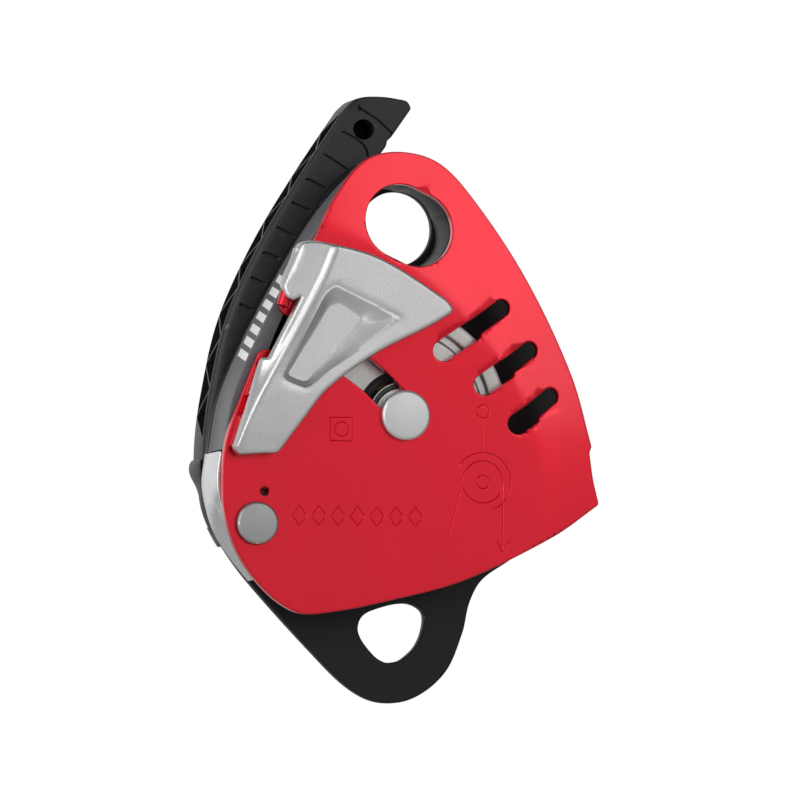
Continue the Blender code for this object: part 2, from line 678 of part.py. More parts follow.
def brake(arm_axis):
    hub = prism(circle(PIVOT, ARM_HUB, 40), ARM_FRONT, ARM_BACK, 0.4, 0.4)
    arm = add("brake_arm", hub, DARK_STEEL, arm_axis)
    join(arm, prism(ARM_OUTLINE, ARM_FRONT + 0.6, ARM_BACK - 0.6))
    cut(arm, prism(circle(PIVOT, ARM_BORE), ARM_FRONT - THROUGH, ARM_BACK + THROUGH))
    add("brake_arm_bush", ring(PIVOT, BUSH_INNER, ARM_BORE - 0.3, ARM_FRONT, ARM_BACK), BRASS, arm_axis)
    outer = [polar(AXLE, SHOE_OUTER, a) for a in SHOE_ANGLES]
    inner = [polar(AXLE, SHOE_INNER, a) for a in SHOE_ANGLES]
    shoe = add("brake_shoe", prism(band(outer, inner), -6.0, 7.4, 0.3, 0.3), STEEL, arm_axis)
    for number, angle in enumerate(SHOE_PINS, 1):
        x, z = polar(AXLE, (SHOE_OUTER + SHOE_INNER) / 2, angle)
        axis = Matrix.Translation(place(x, SHOE_MIDDLE, z)) @ Matrix.Rotation(math.pi / 2 - angle, 4, "Y")
        axis = axis @ Matrix.Rotation(math.pi / 2, 4, "X")
        cut(shoe, along_axis([(0, -3.6), (1.8, -3.6), (1.8, 0.6), (0, 0.6)], axis, PIN_SIDES))
        cut(arm, along_axis([(0, -8.4), (1.8, -8.4), (1.8, 0.0), (0, 0.0)], axis, PIN_SIDES))
        pin = along_axis([(0, -8.0), (1.5, -8.0), (1.5, 0.2), (0, 0.2)], axis, PIN_SIDES)
        add(f"shoe_pin_{number}", pin, STEEL, arm_axis)


# The swinging plate in front, and the gate it carries.

def side_plate(swing):
    plate = add("side_plate", bent(prism(closed(SIDE_OUTLINE), SIDE_FRONT, SIDE_BACK)), RED, swing)
    front, back = SIDE_FRONT - 2 * THROUGH, SIDE_BACK + 4 * THROUGH
    cut(plate, prism(capsule(*EYE_PLAY, EYE_RADIUS, 40), front, back))
    radii = (SLOT_RADIUS - SLOT_HALF, SLOT_RADIUS + SLOT_HALF)
    cut(plate, prism(sector(*radii, SLOT_START, SLOT_END), front, back))
    cut(plate, prism(circle(AXLE, SLOT_HALF), front, back))
    cut(plate, prism(closed(MOUTH_OUTLINE), front, back))
    cut(plate, prism(circle(PIVOT, PLATE_BORE), front, back))
    cut(plate, prism(circle(DETENT, DETENT_RADIUS + 0.4, PIN_SIDES), front, back))
    for high, low, heel in VENTS:
        cut(plate, prism(capsule(low, high, VENT_RADIUS, 20), front, back))
        cut(plate, prism(capsule(low, heel, FOOT_RADIUS, 20), front, back))
    bush = ring(PIVOT, BUSH_INNER, PLATE_BORE - 0.3, SIDE_FRONT, SIDE_BACK)
    add("side_plate_bush", bush, BRASS, swing)


def pivot_axle():
    add("pivot_axle", turned(PIVOT, [
        (0, HEAD_FRONT), (PIVOT_HEAD_RADIUS - 0.8, HEAD_FRONT), (PIVOT_HEAD_RADIUS, HEAD_FRONT + 0.7),
        (PIVOT_HEAD_RADIUS, HEAD_BACK), (PIVOT_RADIUS, HEAD_BACK), (PIVOT_RADIUS, PIVOT_END - 0.5),
        (PIVOT_RADIUS - 0.5, PIVOT_END), (0, PIVOT_END),
    ]), SATIN)
    hexagon_nut("pivot_nut", PIVOT, PIVOT_NUT, BUSH_INNER)


def hinge_frame():
    """Frame whose Y axis runs up the gate hinge, Z towards the front and X across to the right."""
    along = Vector((HINGE_HIGH[0] - HINGE_LOW[0], 0, HINGE_HIGH[1] - HINGE_LOW[1])).normalized()
    front = Vector((0, -1, 0))
    right = along.cross(front)
    turn = Matrix((right, along, front)).transposed().to_4x4()
    return Matrix.Translation(place(HINGE_LOW[0], HINGE_Y, HINGE_LOW[1])) @ turn


def hinge_point(z):
    """Distance along the hinge from its lower end to the level z."""
    share = (z - HINGE_LOW[1]) / (HINGE_HIGH[1] - HINGE_LOW[1])
    return share * math.dist(HINGE_LOW, HINGE_HIGH)


def hinge_box(right_low, right_high, z_low, z_high, depth_low, depth_high):
    """A block given across, along and in front of the hinge axis."""
    bm = bmesh.new()
    bmesh.ops.create_cube(bm, size=1.0)
    low, high = hinge_point(z_low), hinge_point(z_high)
    size = Vector((right_high - right_low, high - low, depth_high - depth_low)) * MM
    middle = Vector((right_high + right_low, high + low, depth_high + depth_low)) * MM / 2
    move = hinge_frame() @ Matrix.Translation(middle) @ Matrix.Diagonal((*size, 1.0))
    bmesh.ops.transform(bm, matrix=move, verts=bm.verts)
    return finish(bm)


def hinge_rod(radius, z_low, z_high, sides=24):
    low, high = hinge_point(z_low), hinge_point(z_high)
    return along_axis([(0, low), (radius, low), (radius, high), (0, high)], hinge_frame(), sides)


def gate(lift, swing):
    flap = add("gate", prism(closed(GATE_OUTLINE), GATE_FRONT, GATE_BACK), SATIN, lift)
    deep, wide = GATE_FRONT, 90.0
    cut(flap, hinge_box(-12, 0.2, -wide, 0, deep, -0.1))
    for _, (low, high), _ in HINGES.values():
        join(flap, hinge_rod(HINGE_BARREL, low, high))
    head_room = HEAD_RADIUS + 0.7
    radii = (SLOT_RADIUS - head_room, SLOT_RADIUS + head_room)
    room = sector(*radii, math.radians(42), SLOT_END + 0.2)
    cut(flap, prism(room, GATE_ROOF, GATE_BACK + 2 * THROUGH))
    cut(flap, prism(closed(POCKET_OUTLINE), GATE_FRONT - THROUGH, POCKET_FLOOR))
    lug = polar(PIVOT, SLOT_RADIUS, LUG_ANGLE)
    join(flap, prism(circle(lug, LUG_RADIUS, 24), GATE_ROOF - 1.0, LUG_END, 0.0, 0.3))
    for name, (levels, _, pin_levels) in HINGES.items():
        low, high = levels
        foot_room = hinge_box(-6, BRACKET_FOOT + FOOT_ROOM, low - GAP, high + GAP, deep, -0.5)
        cut(flap, hinge_rod(HINGE_BARREL + 0.4, low - 2 * GAP, high + 2 * GAP), "MANIFOLD")
        cut(flap, foot_room, "MANIFOLD")
        cut(flap, hinge_rod(HINGE_BORE, pin_levels[0] - 0.5, pin_levels[1] + 0.5), "MANIFOLD")
        bracket = add(f"gate_bracket_{name}", hinge_rod(HINGE_BARREL - 0.1, low, high), STEEL, swing)
        foot = hinge_box(-1.0, BRACKET_FOOT, low + GAP, high - GAP, HINGE_Y - GATE_BACK, -0.9)
        join(bracket, foot)
        cut(bracket, hinge_rod(HINGE_BORE, low - THROUGH, high + THROUGH))
        add(f"gate_pin_{name}", hinge_rod(HINGE_PIN, *pin_levels), STEEL, swing)


# The handle behind the rear plate.

def edge_steps(count):
    """Evenly spaced places on the handle's outer edge with the direction along it."""
    line = open_curve(HANDLE_EDGE)
    lengths = [math.dist(a, b) for a, b in zip(line, line[1:])]
    total = sum(lengths)
    made = []
    for i in range(count):
        left = total * i / (count - 1)
        for (a, b), size in zip(zip(line, line[1:]), lengths):
            if left <= size or (a, b) == (line[-2], line[-1]):
                direction = Vector((b[0] - a[0], b[1] - a[1])).normalized()
                made.append((Vector(mix(a, b, min(left / size, 1.0))), direction))
                break
            left -= size
    return made


def rib_pocket(start, end, up):
    """A three-sided pocket in the handle's outer side, its point towards the front or the back."""
    near, far = HANDLE_FRONT + RIB_MARGINS[0], HANDLE_BACK - RIB_MARGINS[1]
    if not up:
        near, far = far, near
    (a, along_a), (b, along_b) = start, end
    along = (along_a + along_b).normalized()
    outward = Vector((-along.y, along.x))
    a, b = a + along * RIB_INSET, b - along * RIB_INSET
    middle = (a + b) / 2
    bm = bmesh.new()
    rings = []
    for reach in (THROUGH, -RIB_DEPTH):
        shift = outward * reach
        rings.append([
            bm.verts.new(place(a.x + shift.x, near, a.y + shift.y)),
            bm.verts.new(place(b.x + shift.x, near, b.y + shift.y)),
            bm.verts.new(place(middle.x + shift.x, far, middle.y + shift.y)),
        ])
    bm.faces.new(rings[0])
    bm.faces.new(rings[1])
    for i in range(3):
        j = (i + 1) % 3
        bm.faces.new((rings[0][i], rings[0][j], rings[1][j], rings[1][i]))
    return finish(bm)


def handle(pull):
    lever = add("handle", prism(closed(HANDLE_OUTLINE), HANDLE_FRONT, HANDLE_BACK, 0.8, 2.0), NYLON, pull)
    foot_front, foot_back = HANDLE_FRONT + 0.05, HANDLE_WEB_BACK
    join(lever, prism(closed(HANDLE_FOOT), foot_front, foot_back, 0.4, 0.6))
    cut(lever, prism(circle(PIVOT, HANDLE_BORE), HANDLE_FRONT - THROUGH, HANDLE_BACK + THROUGH))
    hole = closed(LANYARD_OUTLINE)
    cut(lever, prism(hole, HANDLE_FRONT - THROUGH, HANDLE_FRONT + LANYARD_DEPTH))
    steps = edge_steps(RIB_STEPS)
    for i in range(RIB_STEPS - 2):
        cut(lever, rib_pocket(steps[i], steps[i + 2], i % 2 == 0))
    bush = ring(PIVOT, BUSH_INNER, HANDLE_BORE - 0.3, foot_front, foot_back - 0.05)
    add("handle_bush", bush, BRASS, pull)


def clear_scene():
    for old in list(bpy.data.objects):
        bpy.data.objects.remove(old)


def build():
    clear_scene()
    rear_side_plate()
    frame_screws()
    spine_housing()
    brake_channel_insert()
    eye_bush()
    detent_pin()
    main_axle()
    pivot_axle()
    spin = axis_empty("sheave_axis", AXLE[0], 0, AXLE[1])
    bearing(spin)
    sheave(spin)
    ratchet_ring(spin)
    pawls()
    brake(axis_empty("brake_axis", PIVOT[0], 0, PIVOT[1]))
    swing = axis_empty("side_plate_axis", PIVOT[0], 0, PIVOT[1])
    side_plate(swing)
    gate(axis_empty("gate_axis", HINGE_LOW[0], HINGE_Y, HINGE_LOW[1]), swing)
    handle(axis_empty("handle_axis", PIVOT[0], 0, PIVOT[1]))


build()
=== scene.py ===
"""Looks of the rope descender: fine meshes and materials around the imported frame.

Shapes are written in millimetres from the axis of the anchor eye, x to the right and z up in the
plane of the plates and y through them, the red plate in front at negative y.
"""

import json
import math

import bmesh
import bpy
import numpy as np
from mathutils import Matrix, Vector
from mathutils.geometry import delaunay_2d_cdt

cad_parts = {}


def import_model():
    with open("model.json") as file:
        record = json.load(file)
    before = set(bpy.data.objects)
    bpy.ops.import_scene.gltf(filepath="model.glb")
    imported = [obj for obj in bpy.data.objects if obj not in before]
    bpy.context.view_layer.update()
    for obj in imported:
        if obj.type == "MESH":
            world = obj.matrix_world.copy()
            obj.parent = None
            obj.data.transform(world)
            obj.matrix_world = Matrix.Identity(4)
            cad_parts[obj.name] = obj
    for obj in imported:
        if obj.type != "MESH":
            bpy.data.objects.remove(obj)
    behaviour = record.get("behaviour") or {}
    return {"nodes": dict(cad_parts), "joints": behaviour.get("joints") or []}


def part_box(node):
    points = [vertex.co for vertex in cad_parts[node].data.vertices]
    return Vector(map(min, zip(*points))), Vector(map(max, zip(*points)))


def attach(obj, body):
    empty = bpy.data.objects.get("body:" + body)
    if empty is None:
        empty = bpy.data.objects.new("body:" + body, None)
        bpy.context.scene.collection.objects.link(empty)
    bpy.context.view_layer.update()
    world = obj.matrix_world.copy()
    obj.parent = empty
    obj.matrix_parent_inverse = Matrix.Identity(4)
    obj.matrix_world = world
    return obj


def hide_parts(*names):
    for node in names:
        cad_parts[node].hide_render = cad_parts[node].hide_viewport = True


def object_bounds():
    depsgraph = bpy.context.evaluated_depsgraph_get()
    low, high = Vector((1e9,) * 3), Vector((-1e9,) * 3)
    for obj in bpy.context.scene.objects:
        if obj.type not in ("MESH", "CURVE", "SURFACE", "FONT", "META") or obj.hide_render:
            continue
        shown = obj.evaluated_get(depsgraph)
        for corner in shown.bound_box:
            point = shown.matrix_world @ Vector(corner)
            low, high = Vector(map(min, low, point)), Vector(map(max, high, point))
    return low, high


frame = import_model()
CAD_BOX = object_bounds()
NODES = frame["nodes"]
JOINTS = {joint["name"]: joint for joint in frame["joints"]}
MM = 0.001

AXLE = (-4.2, -69.5)
ORIGIN = Vector(JOINTS["sheave_spin"]["pos_m"]) - Vector((AXLE[0], 0.0, AXLE[1])) * MM


def place(x, y, z):
    """World position of a point given in millimetres from the eye's axis."""
    return ORIGIN + Vector((x, y, z)) * MM


def local(position):
    """The x and z of a world position, in millimetres from the eye's axis."""
    return ((position[0] - ORIGIN.x) / MM, (position[2] - ORIGIN.z) / MM)


def layers(node):
    """Lowest and highest y of a CAD node, in millimetres."""
    low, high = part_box(node)
    return (low.y / MM, high.y / MM)


EYE = (0.0, 0.0)
EYE_RADIUS = 13.5
PIVOT = local(JOINTS["side_plate_swing"]["pos_m"])
HINGE = Vector(JOINTS["gate_lift"]["pos_m"])
HINGE_UP = -Vector(JOINTS["gate_lift"]["axis"])
HINGE_LOW_Z = local(HINGE)[1]
REAR_FRONT, REAR_BACK = layers("rear_side_plate")
HANDLE_FRONT, HANDLE_BACK = layers("handle")
HEAD_FRONT = layers("main_axle")[0]
HEAD_BACK = HEAD_FRONT + 2.5
HEAD_RADIUS = 9.0
SIDE_FRONT = layers("side_plate")[0]
SIDE_BACK = SIDE_FRONT + 3.5
INNER = layers("spine_housing")[1]
GATE_FRONT = layers("gate")[0]
GATE_BACK = GATE_FRONT + 8.45
GATE_ROOF = GATE_FRONT + 5.2
GAP = 0.35

LEAN_RADIUS = 110.0
LEAN_SLOPE = 0.11
LEAN_ROUNDING = 2.2
SLOT_RADIUS = math.dist(AXLE, PIVOT)
SLOT_START = math.atan2(AXLE[1] - PIVOT[1], AXLE[0] - PIVOT[0])
SLOT_END = math.radians(100)
SLOT_HALF = 5.4
LUG_ANGLE = math.radians(64)
DETENT = (-56.2, -97.6)
FRAME_SCREWS = [(-63.6, -72.0), (-58.8, -53.6), (-50.6, -34.6), (-26.4, 4.6), (-65.6, -92.0)]

# Outlines: (x, z) is a point on a smooth curve, (x, z, cut) is a corner rounded by that much.
SIDE_OUTLINE = [
    (-18.2, 22.6), (-5.0, 26.0), (9.5, 22.6), (21.7, 10.9), (42.1, -18.6), (59.2, -53.4),
    (66.9, -79.5, 0.8), (66.0, -81.6, 0.6), (67.4, -91.5), (69.6, -100.4, 1.2),
    (51.8, -112.4), (17.7, -128.7), (-11.4, -136.5), (-32.2, -140.6), (-44.2, -140.7),
    (-56.2, -132.9), (-66.3, -119.5), (-71.1, -104.7), (-71.8, -93.0), (-70.6, -80.0),
    (-65.7, -65.4), (-58.8, -48.6, 1.5), (-50.4, -31.6, 1.5), (-38.2, -7.5), (-29.6, 9.2),
]
MOUTH_OUTLINE = [
    (-43.0, -37.6, 1.5), (-48.0, -34.3), (-49.9, -32.9), (-50.6, -31.4), (-50.5, -29.6, 0.1),
    (-64.0, -34.0, 0.1), (-64.0, -52.8, 0.1), (-60.8, -52.8, 0.1), (-60.1, -50.4), (-58.7, -48.0),
    (-56.2, -46.6), (-44.0, -43.8, 1.5),
]
VENTS = [
    ((32.6, -29.9), (10.3, -45.9), (21.0, -38.7)),
    ((43.0, -45.0), (25.6, -57.9), (33.6, -52.4)),
    ((50.9, -61.6), (38.3, -71.8), (43.0, -68.6)),
]
REAR_OUTLINE = [
    (-19.4, 19.4), (0.0, 27.5), (19.4, 19.4), (35.0, -1.0), (54.5, -35.5), (65.5, -67.0),
    (68.0, -92.0), (61.0, -107.5), (42.4, -120.3), (32.5, -127.2), (27.9, -135.3),
    (25.1, -146.7), (18.5, -161.0), (6.3, -170.4), (-6.5, -171.9), (-17.8, -166.8),
    (-32.0, -153.6), (-54.4, -129.8), (-63.6, -118.0), (-69.2, -107.6), (-71.6, -94.0),
    (-70.2, -79.8), (-67.0, -63.0), (-58.6, -42.5), (-47.6, -21.6), (-33.8, 1.1),
]
BECKET_OUTLINE = [
    (-9.5, -138.9), (3.0, -136.0), (9.4, -138.4), (10.4, -143.0), (7.6, -151.0),
    (2.0, -156.3), (-1.2, -157.3), (-4.4, -157.3), (-8.6, -154.6), (-13.9, -147.2),
    (-13.4, -142.0),
]
GATE_OUTLINE = [
    (-69.4, -82.6, 1.6), (-66.8, -85.0, 1.0), (-57.8, -84.3), (-52.9, -84.3, 1.8),
    (-43.2, -71.4), (-34.7, -60.9), (-17.3, -48.2), (4.7, -36.9), (12.9, -31.9, 2.4),
    (9.8, -28.0, 2.0), (-7.2, -17.5), (-19.2, -12.0), (-32.0, -9.0), (-40.2, -7.7),
    (-45.1, -8.9), (-47.8, -13.0), (-49.4, -16.8), (-51.4, -23.6), (-49.8, -28.4, 1.0),
    (-47.3, -29.4, 0.8), (-44.8, -28.0, 0.6), (-56.2, -49.8, 0.5), (-58.9, -50.2, 0.6),
]
GATE_RIDGE = [(-31.0, -7.0), (-32.6, -10.5), (-37.4, -21.7), (-49.2, -43.8), (-60.9, -64.6), (-68.4, -81.5)]
POCKET_RIM = [
    (-36.4, -26.4, 3.6), (-32.2, -23.6, 2.0), (-6.9, -35.2, 2.6), (-43.6, -61.6, 2.6),
    (-52.6, -58.0, 3.0),
]
POCKET_FLOOR = [
    (-33.6, -31.0, 1.6), (-29.6, -29.6, 1.4), (-21.4, -34.6, 1.6), (-42.2, -58.4, 1.6),
    (-49.2, -56.0, 1.6),
]
HANDLE_OUTLINE = [
    (-17.6, 44.2, 1.4), (-13.0, 47.8), (-3.6, 48.6), (5.9, 47.4, 1.6), (7.3, 44.6, 1.0),
    (-0.2, 34.0, 0.8), (-1.8, 32.6, 0.5), (-2.2, 30.6, 0.8), (-18.1, 8.8), (-32.5, -15.3),
    (-42.8, -37.9), (-49.6, -65.3), (-51.4, -96.0, 2.5), (-70.8, -96.0, 3.0),
    (-70.6, -78.0), (-68.4, -61.0), (-62.0, -33.4), (-49.7, -6.1), (-34.3, 19.5),
]
HANDLE_FOOT = [
    (-70.8, -84.0), (-71.6, -94.0), (-70.4, -102.6), (-67.2, -110.2), (-62.6, -115.8),
    (-57.6, -117.6), (-51.4, -116.0), (-48.4, -108.0), (-50.6, -84.0),
]
HANDLE_EDGE = [
    (-70.8, -96.0), (-70.6, -78.0), (-68.4, -61.0), (-62.0, -33.4), (-49.7, -6.1), (-34.3, 19.5),
    (-17.6, 44.2), (-13.0, 47.8),
]
LANYARD_HOLE = [
    (-14.6, 38.0), (-10.9, 40.2), (-7.3, 38.0), (-7.6, 34.4), (-11.0, 32.6), (-14.2, 34.4),
]
HANDLE_SLITS = [
    [(-24.9, 26.4), (-17.4, 21.8)], [(-31.6, 17.6), (-25.8, 14.8)], [(-37.3, 8.8), (-31.8, 6.4)],
    [(-42.5, -0.5), (-37.3, -3.0)], [(-47.9, -9.4), (-43.2, -11.1)], [(-52.4, -18.8), (-48.5, -20.4)],
    [(-56.4, -28.6), (-53.0, -30.0)],
]
HANDLE_GROOVES = [
    [(-18.3, 35.1), (-13.4, 32.6), (-10.2, 29.6), (-9.3, 26.4)],
    [(-11.8, 43.6), (-6.0, 40.2), (-0.4, 35.4)],
]


# ---------------------------------------------------------------- lines in the plane

def srgb(red, green, blue):
    """Linear colour from 8-bit screen values."""
    def linear(value):
        value /= 255
        return value / 12.92 if value <= 0.04045 else ((value + 0.055) / 1.055) ** 2.4
    return (linear(red), linear(green), linear(blue), 1.0)


def polar(centre, radius, angle):
    return (centre[0] + radius * math.cos(angle), centre[1] + radius * math.sin(angle))


def mix(a, b, share):
    return tuple(p + (q - p) * share for p, q in zip(a, b))


def curve_piece(before, start, end, after, step):
    """Points from start up to end on a smooth curve, no further apart than step."""
    size = math.dist(start, end)
    leave = Vector(end) - Vector(before)
    arrive = Vector(after) - Vector(start)
    leave = leave.normalized() * size if leave.length else Vector(end) - Vector(start)
    arrive = arrive.normalized() * size if arrive.length else Vector(end) - Vector(start)
    count = max(1, math.ceil(size / step))
    made = []
    for i in range(count):
        t = i / count
        spot = (
            Vector(start) * (2 * t**3 - 3 * t**2 + 1) + leave * (t**3 - 2 * t**2 + t)
            + Vector(end) * (3 * t**2 - 2 * t**3) + arrive * (t**3 - t**2)
        )
        made.append((spot.x, spot.y))
    return made


def open_curve(points, step=1.0):
    """A smooth open line through the points."""
    line = []
    for i in range(len(points) - 1):
        before = points[max(i - 1, 0)][:2]
        after = points[min(i + 2, len(points) - 1)][:2]
        line += curve_piece(before, points[i][:2], points[i + 1][:2], after, step)
    return line + [points[-1][:2]]


def trimmed(line, length):
    """The line without its first stretch of this length."""
    left = min(length, 0.45 * sum(math.dist(a, b) for a, b in zip(line, line[1:])))
    for i, (a, b) in enumerate(zip(line, line[1:])):
        size = math.dist(a, b)
        if left < size:
            return [mix(a, b, left / size)] + line[i + 1:]
        left -= size
    return line


def outline(points, step=1.0):
    """The closed line through an outline's points, its corners rounded."""
    corners = [i for i, point in enumerate(points) if len(point) == 3]
    if not corners:
        wrapped = [points[-1]] + points + points[:2]
        return [
            spot for i in range(1, len(points) + 1)
            for spot in curve_piece(wrapped[i - 1], wrapped[i], wrapped[i + 1], wrapped[i + 2], step)
        ]
    runs = []
    for k, start in enumerate(corners):
        end = corners[(k + 1) % len(corners)]
        count = (end - start) % len(points) or len(points)
        run = open_curve([points[(start + i) % len(points)] for i in range(count + 1)], step)
        run = trimmed(run, points[start][2])
        runs.append(trimmed(run[::-1], points[end][2])[::-1])
    made = []
    for k, run in enumerate(runs):
        corner, entry, leave = points[corners[k]][:2], runs[k - 1][-1], run[0]
        for i in range(1, 8):
            t = i / 8
            made.append(mix(mix(entry, corner, t), mix(corner, leave, t), t))
        made += run
    return made


def circle(centre, radius, sides=96):
    return [polar(centre, radius, 2 * math.pi * i / sides) for i in range(sides)]


def capsule(start, end, radius, sides=40):
    """The outline of a slot with round ends."""
    along = math.atan2(end[1] - start[1], end[0] - start[0])
    half = sides // 2
    ends = ((end, along - math.pi / 2), (start, along + math.pi / 2))
    return [polar(c, radius, a + math.pi * i / half) for c, a in ends for i in range(half + 1)]


def sector(radius_in, radius_out, start, end, steps=60):
    """A band about the pivot, between two angles."""
    angles = [start + (end - start) * i / steps for i in range(steps + 1)]
    outer = [polar(PIVOT, radius_out, a) for a in angles]
    inner = [polar(PIVOT, radius_in, a) for a in reversed(angles)]
    return outer + inner


def inside(points, line):
    """Which of the points lie inside a closed line."""
    x, z = points[:, 0][:, None], points[:, 1][:, None]
    a = np.array(line, float)
    b = np.roll(a, -1, 0)
    crosses = (a[:, 1] > z) != (b[:, 1] > z)
    rise = np.where(b[:, 1] == a[:, 1], 1.0, b[:, 1] - a[:, 1])
    at = a[:, 0] + (z - a[:, 1]) * (b[:, 0] - a[:, 0]) / rise
    return ((crosses & (x < at)).sum(1) % 2) == 1


def distance(points, starts, ends):
    """Distance from each point to the nearest of the segments."""
    best = np.empty(len(points))
    step = ends - starts
    size = np.maximum((step**2).sum(1), 1e-12)
    for k in range(0, len(points), 400):
        away = points[k:k + 400, None] - starts
        share = np.clip((away * step).sum(2) / size, 0, 1)
        best[k:k + 400] = np.sqrt(((away - share[..., None] * step) ** 2).sum(2)).min(1)
    return best


def line_distance(x, z, line, close=False):
    """Distance from points to a line, closed or open."""
    a = np.array(line, float)
    b = np.roll(a, -1, 0)
    if not close:
        a, b = a[:-1], b[:-1]
    return distance(np.stack([x, z], 1), a, b)


def side_of(x, z, line):
    """Signed distance from an open line that runs downwards: positive to its right as drawn."""
    a = np.array(line, float)
    spots = np.stack([x, z], 1)
    step = a[1:] - a[:-1]
    size = (step**2).sum(1)
    away = spots[:, None] - a[:-1]
    share = np.clip((away * step).sum(2) / size, 0, 1)
    gap = away - share[..., None] * step
    near = (gap**2).sum(2).argmin(1)
    rows = np.arange(len(spots))
    cross = step[near, 1] * away[rows, near, 0] - step[near, 0] * away[rows, near, 1]
    return np.sqrt((gap[rows, near] ** 2).sum(1)) * np.where(cross < 0, 1.0, -1.0)


def triangles(points, edges):
    """A constrained triangulation, as points and triangles that all turn anticlockwise."""
    spots = [Vector(p) for p in points]
    places, _, faces, *_ = delaunay_2d_cdt(spots, edges, [], 0, 1e-5)
    co = np.array([tuple(p) for p in places], float)
    faces = np.array([f[:3] for f in faces], int)
    a, b, c = co[faces[:, 0]], co[faces[:, 1]], co[faces[:, 2]]
    turn = (b[:, 0] - a[:, 0]) * (c[:, 1] - a[:, 1]) - (b[:, 1] - a[:, 1]) * (c[:, 0] - a[:, 0])
    faces[turn < 0] = faces[turn < 0][:, ::-1]
    return co, faces[np.abs(turn) > 1e-9]


def rim_edges(faces):
    """Edges that only one triangle has, in its direction."""
    pairs = {(f[i], f[(i + 1) % 3]) for f in faces for i in range(3)}
    return [(a, b) for a, b in pairs if (b, a) not in pairs]


def region(solids, openings):
    """Boundary loops, the material on their left, of some outlines less others."""
    points, edges = [], []
    for line in solids + openings:
        base, count = len(points), len(line)
        points += line
        edges += [(base + i, base + (i + 1) % count) for i in range(count)]
    co, faces = triangles(points, edges)
    middle = co[faces].mean(1)
    kept = np.any([inside(middle, line) for line in solids], 0)
    for line in openings:
        kept &= ~inside(middle, line)
    after = dict(rim_edges([tuple(f) for f in faces[kept]]))
    loops = []
    while after:
        at, following = next(iter(after.items()))
        loop = []
        while at in after:
            loop.append(tuple(co[at]))
            at = after.pop(at)
        if len(loop) > 8:
            loops.append(loop)
    return loops


# ---------------------------------------------------------------- meshes

def finish_mesh(name, bm, look, sharp=35):
    bmesh.ops.recalc_face_normals(bm, faces=bm.faces)
    if bm.calc_volume(signed=True) < 0:
        bmesh.ops.reverse_faces(bm, faces=bm.faces)
    mesh = bpy.data.meshes.new(name)
    bm.to_mesh(mesh)
    bm.free()
    made = bpy.data.objects.new(name, mesh)
    bpy.context.scene.collection.objects.link(made)
    mesh.materials.append(look)
    mesh.shade_smooth()
    mesh.set_sharp_from_angle(angle=math.radians(sharp))
    return made


def even_shading(made):
    """Lets the large faces set the shading, so that rounded rims do not tint the flats beside them."""
    weigh = made.modifiers.new("weigh", "WEIGHTED_NORMAL")
    weigh.keep_sharp = True
    shape = made.evaluated_get(bpy.context.evaluated_depsgraph_get())
    made.data = bpy.data.meshes.new_from_object(shape)
    made.modifiers.clear()


def quarter(gap, radius):
    """How far a rounded edge falls away at a distance from it."""
    if radius <= 0:
        return np.zeros_like(gap)
    reach = np.clip(radius - gap, 0, radius)
    return radius - np.sqrt(np.maximum(radius**2 - reach**2, 0))


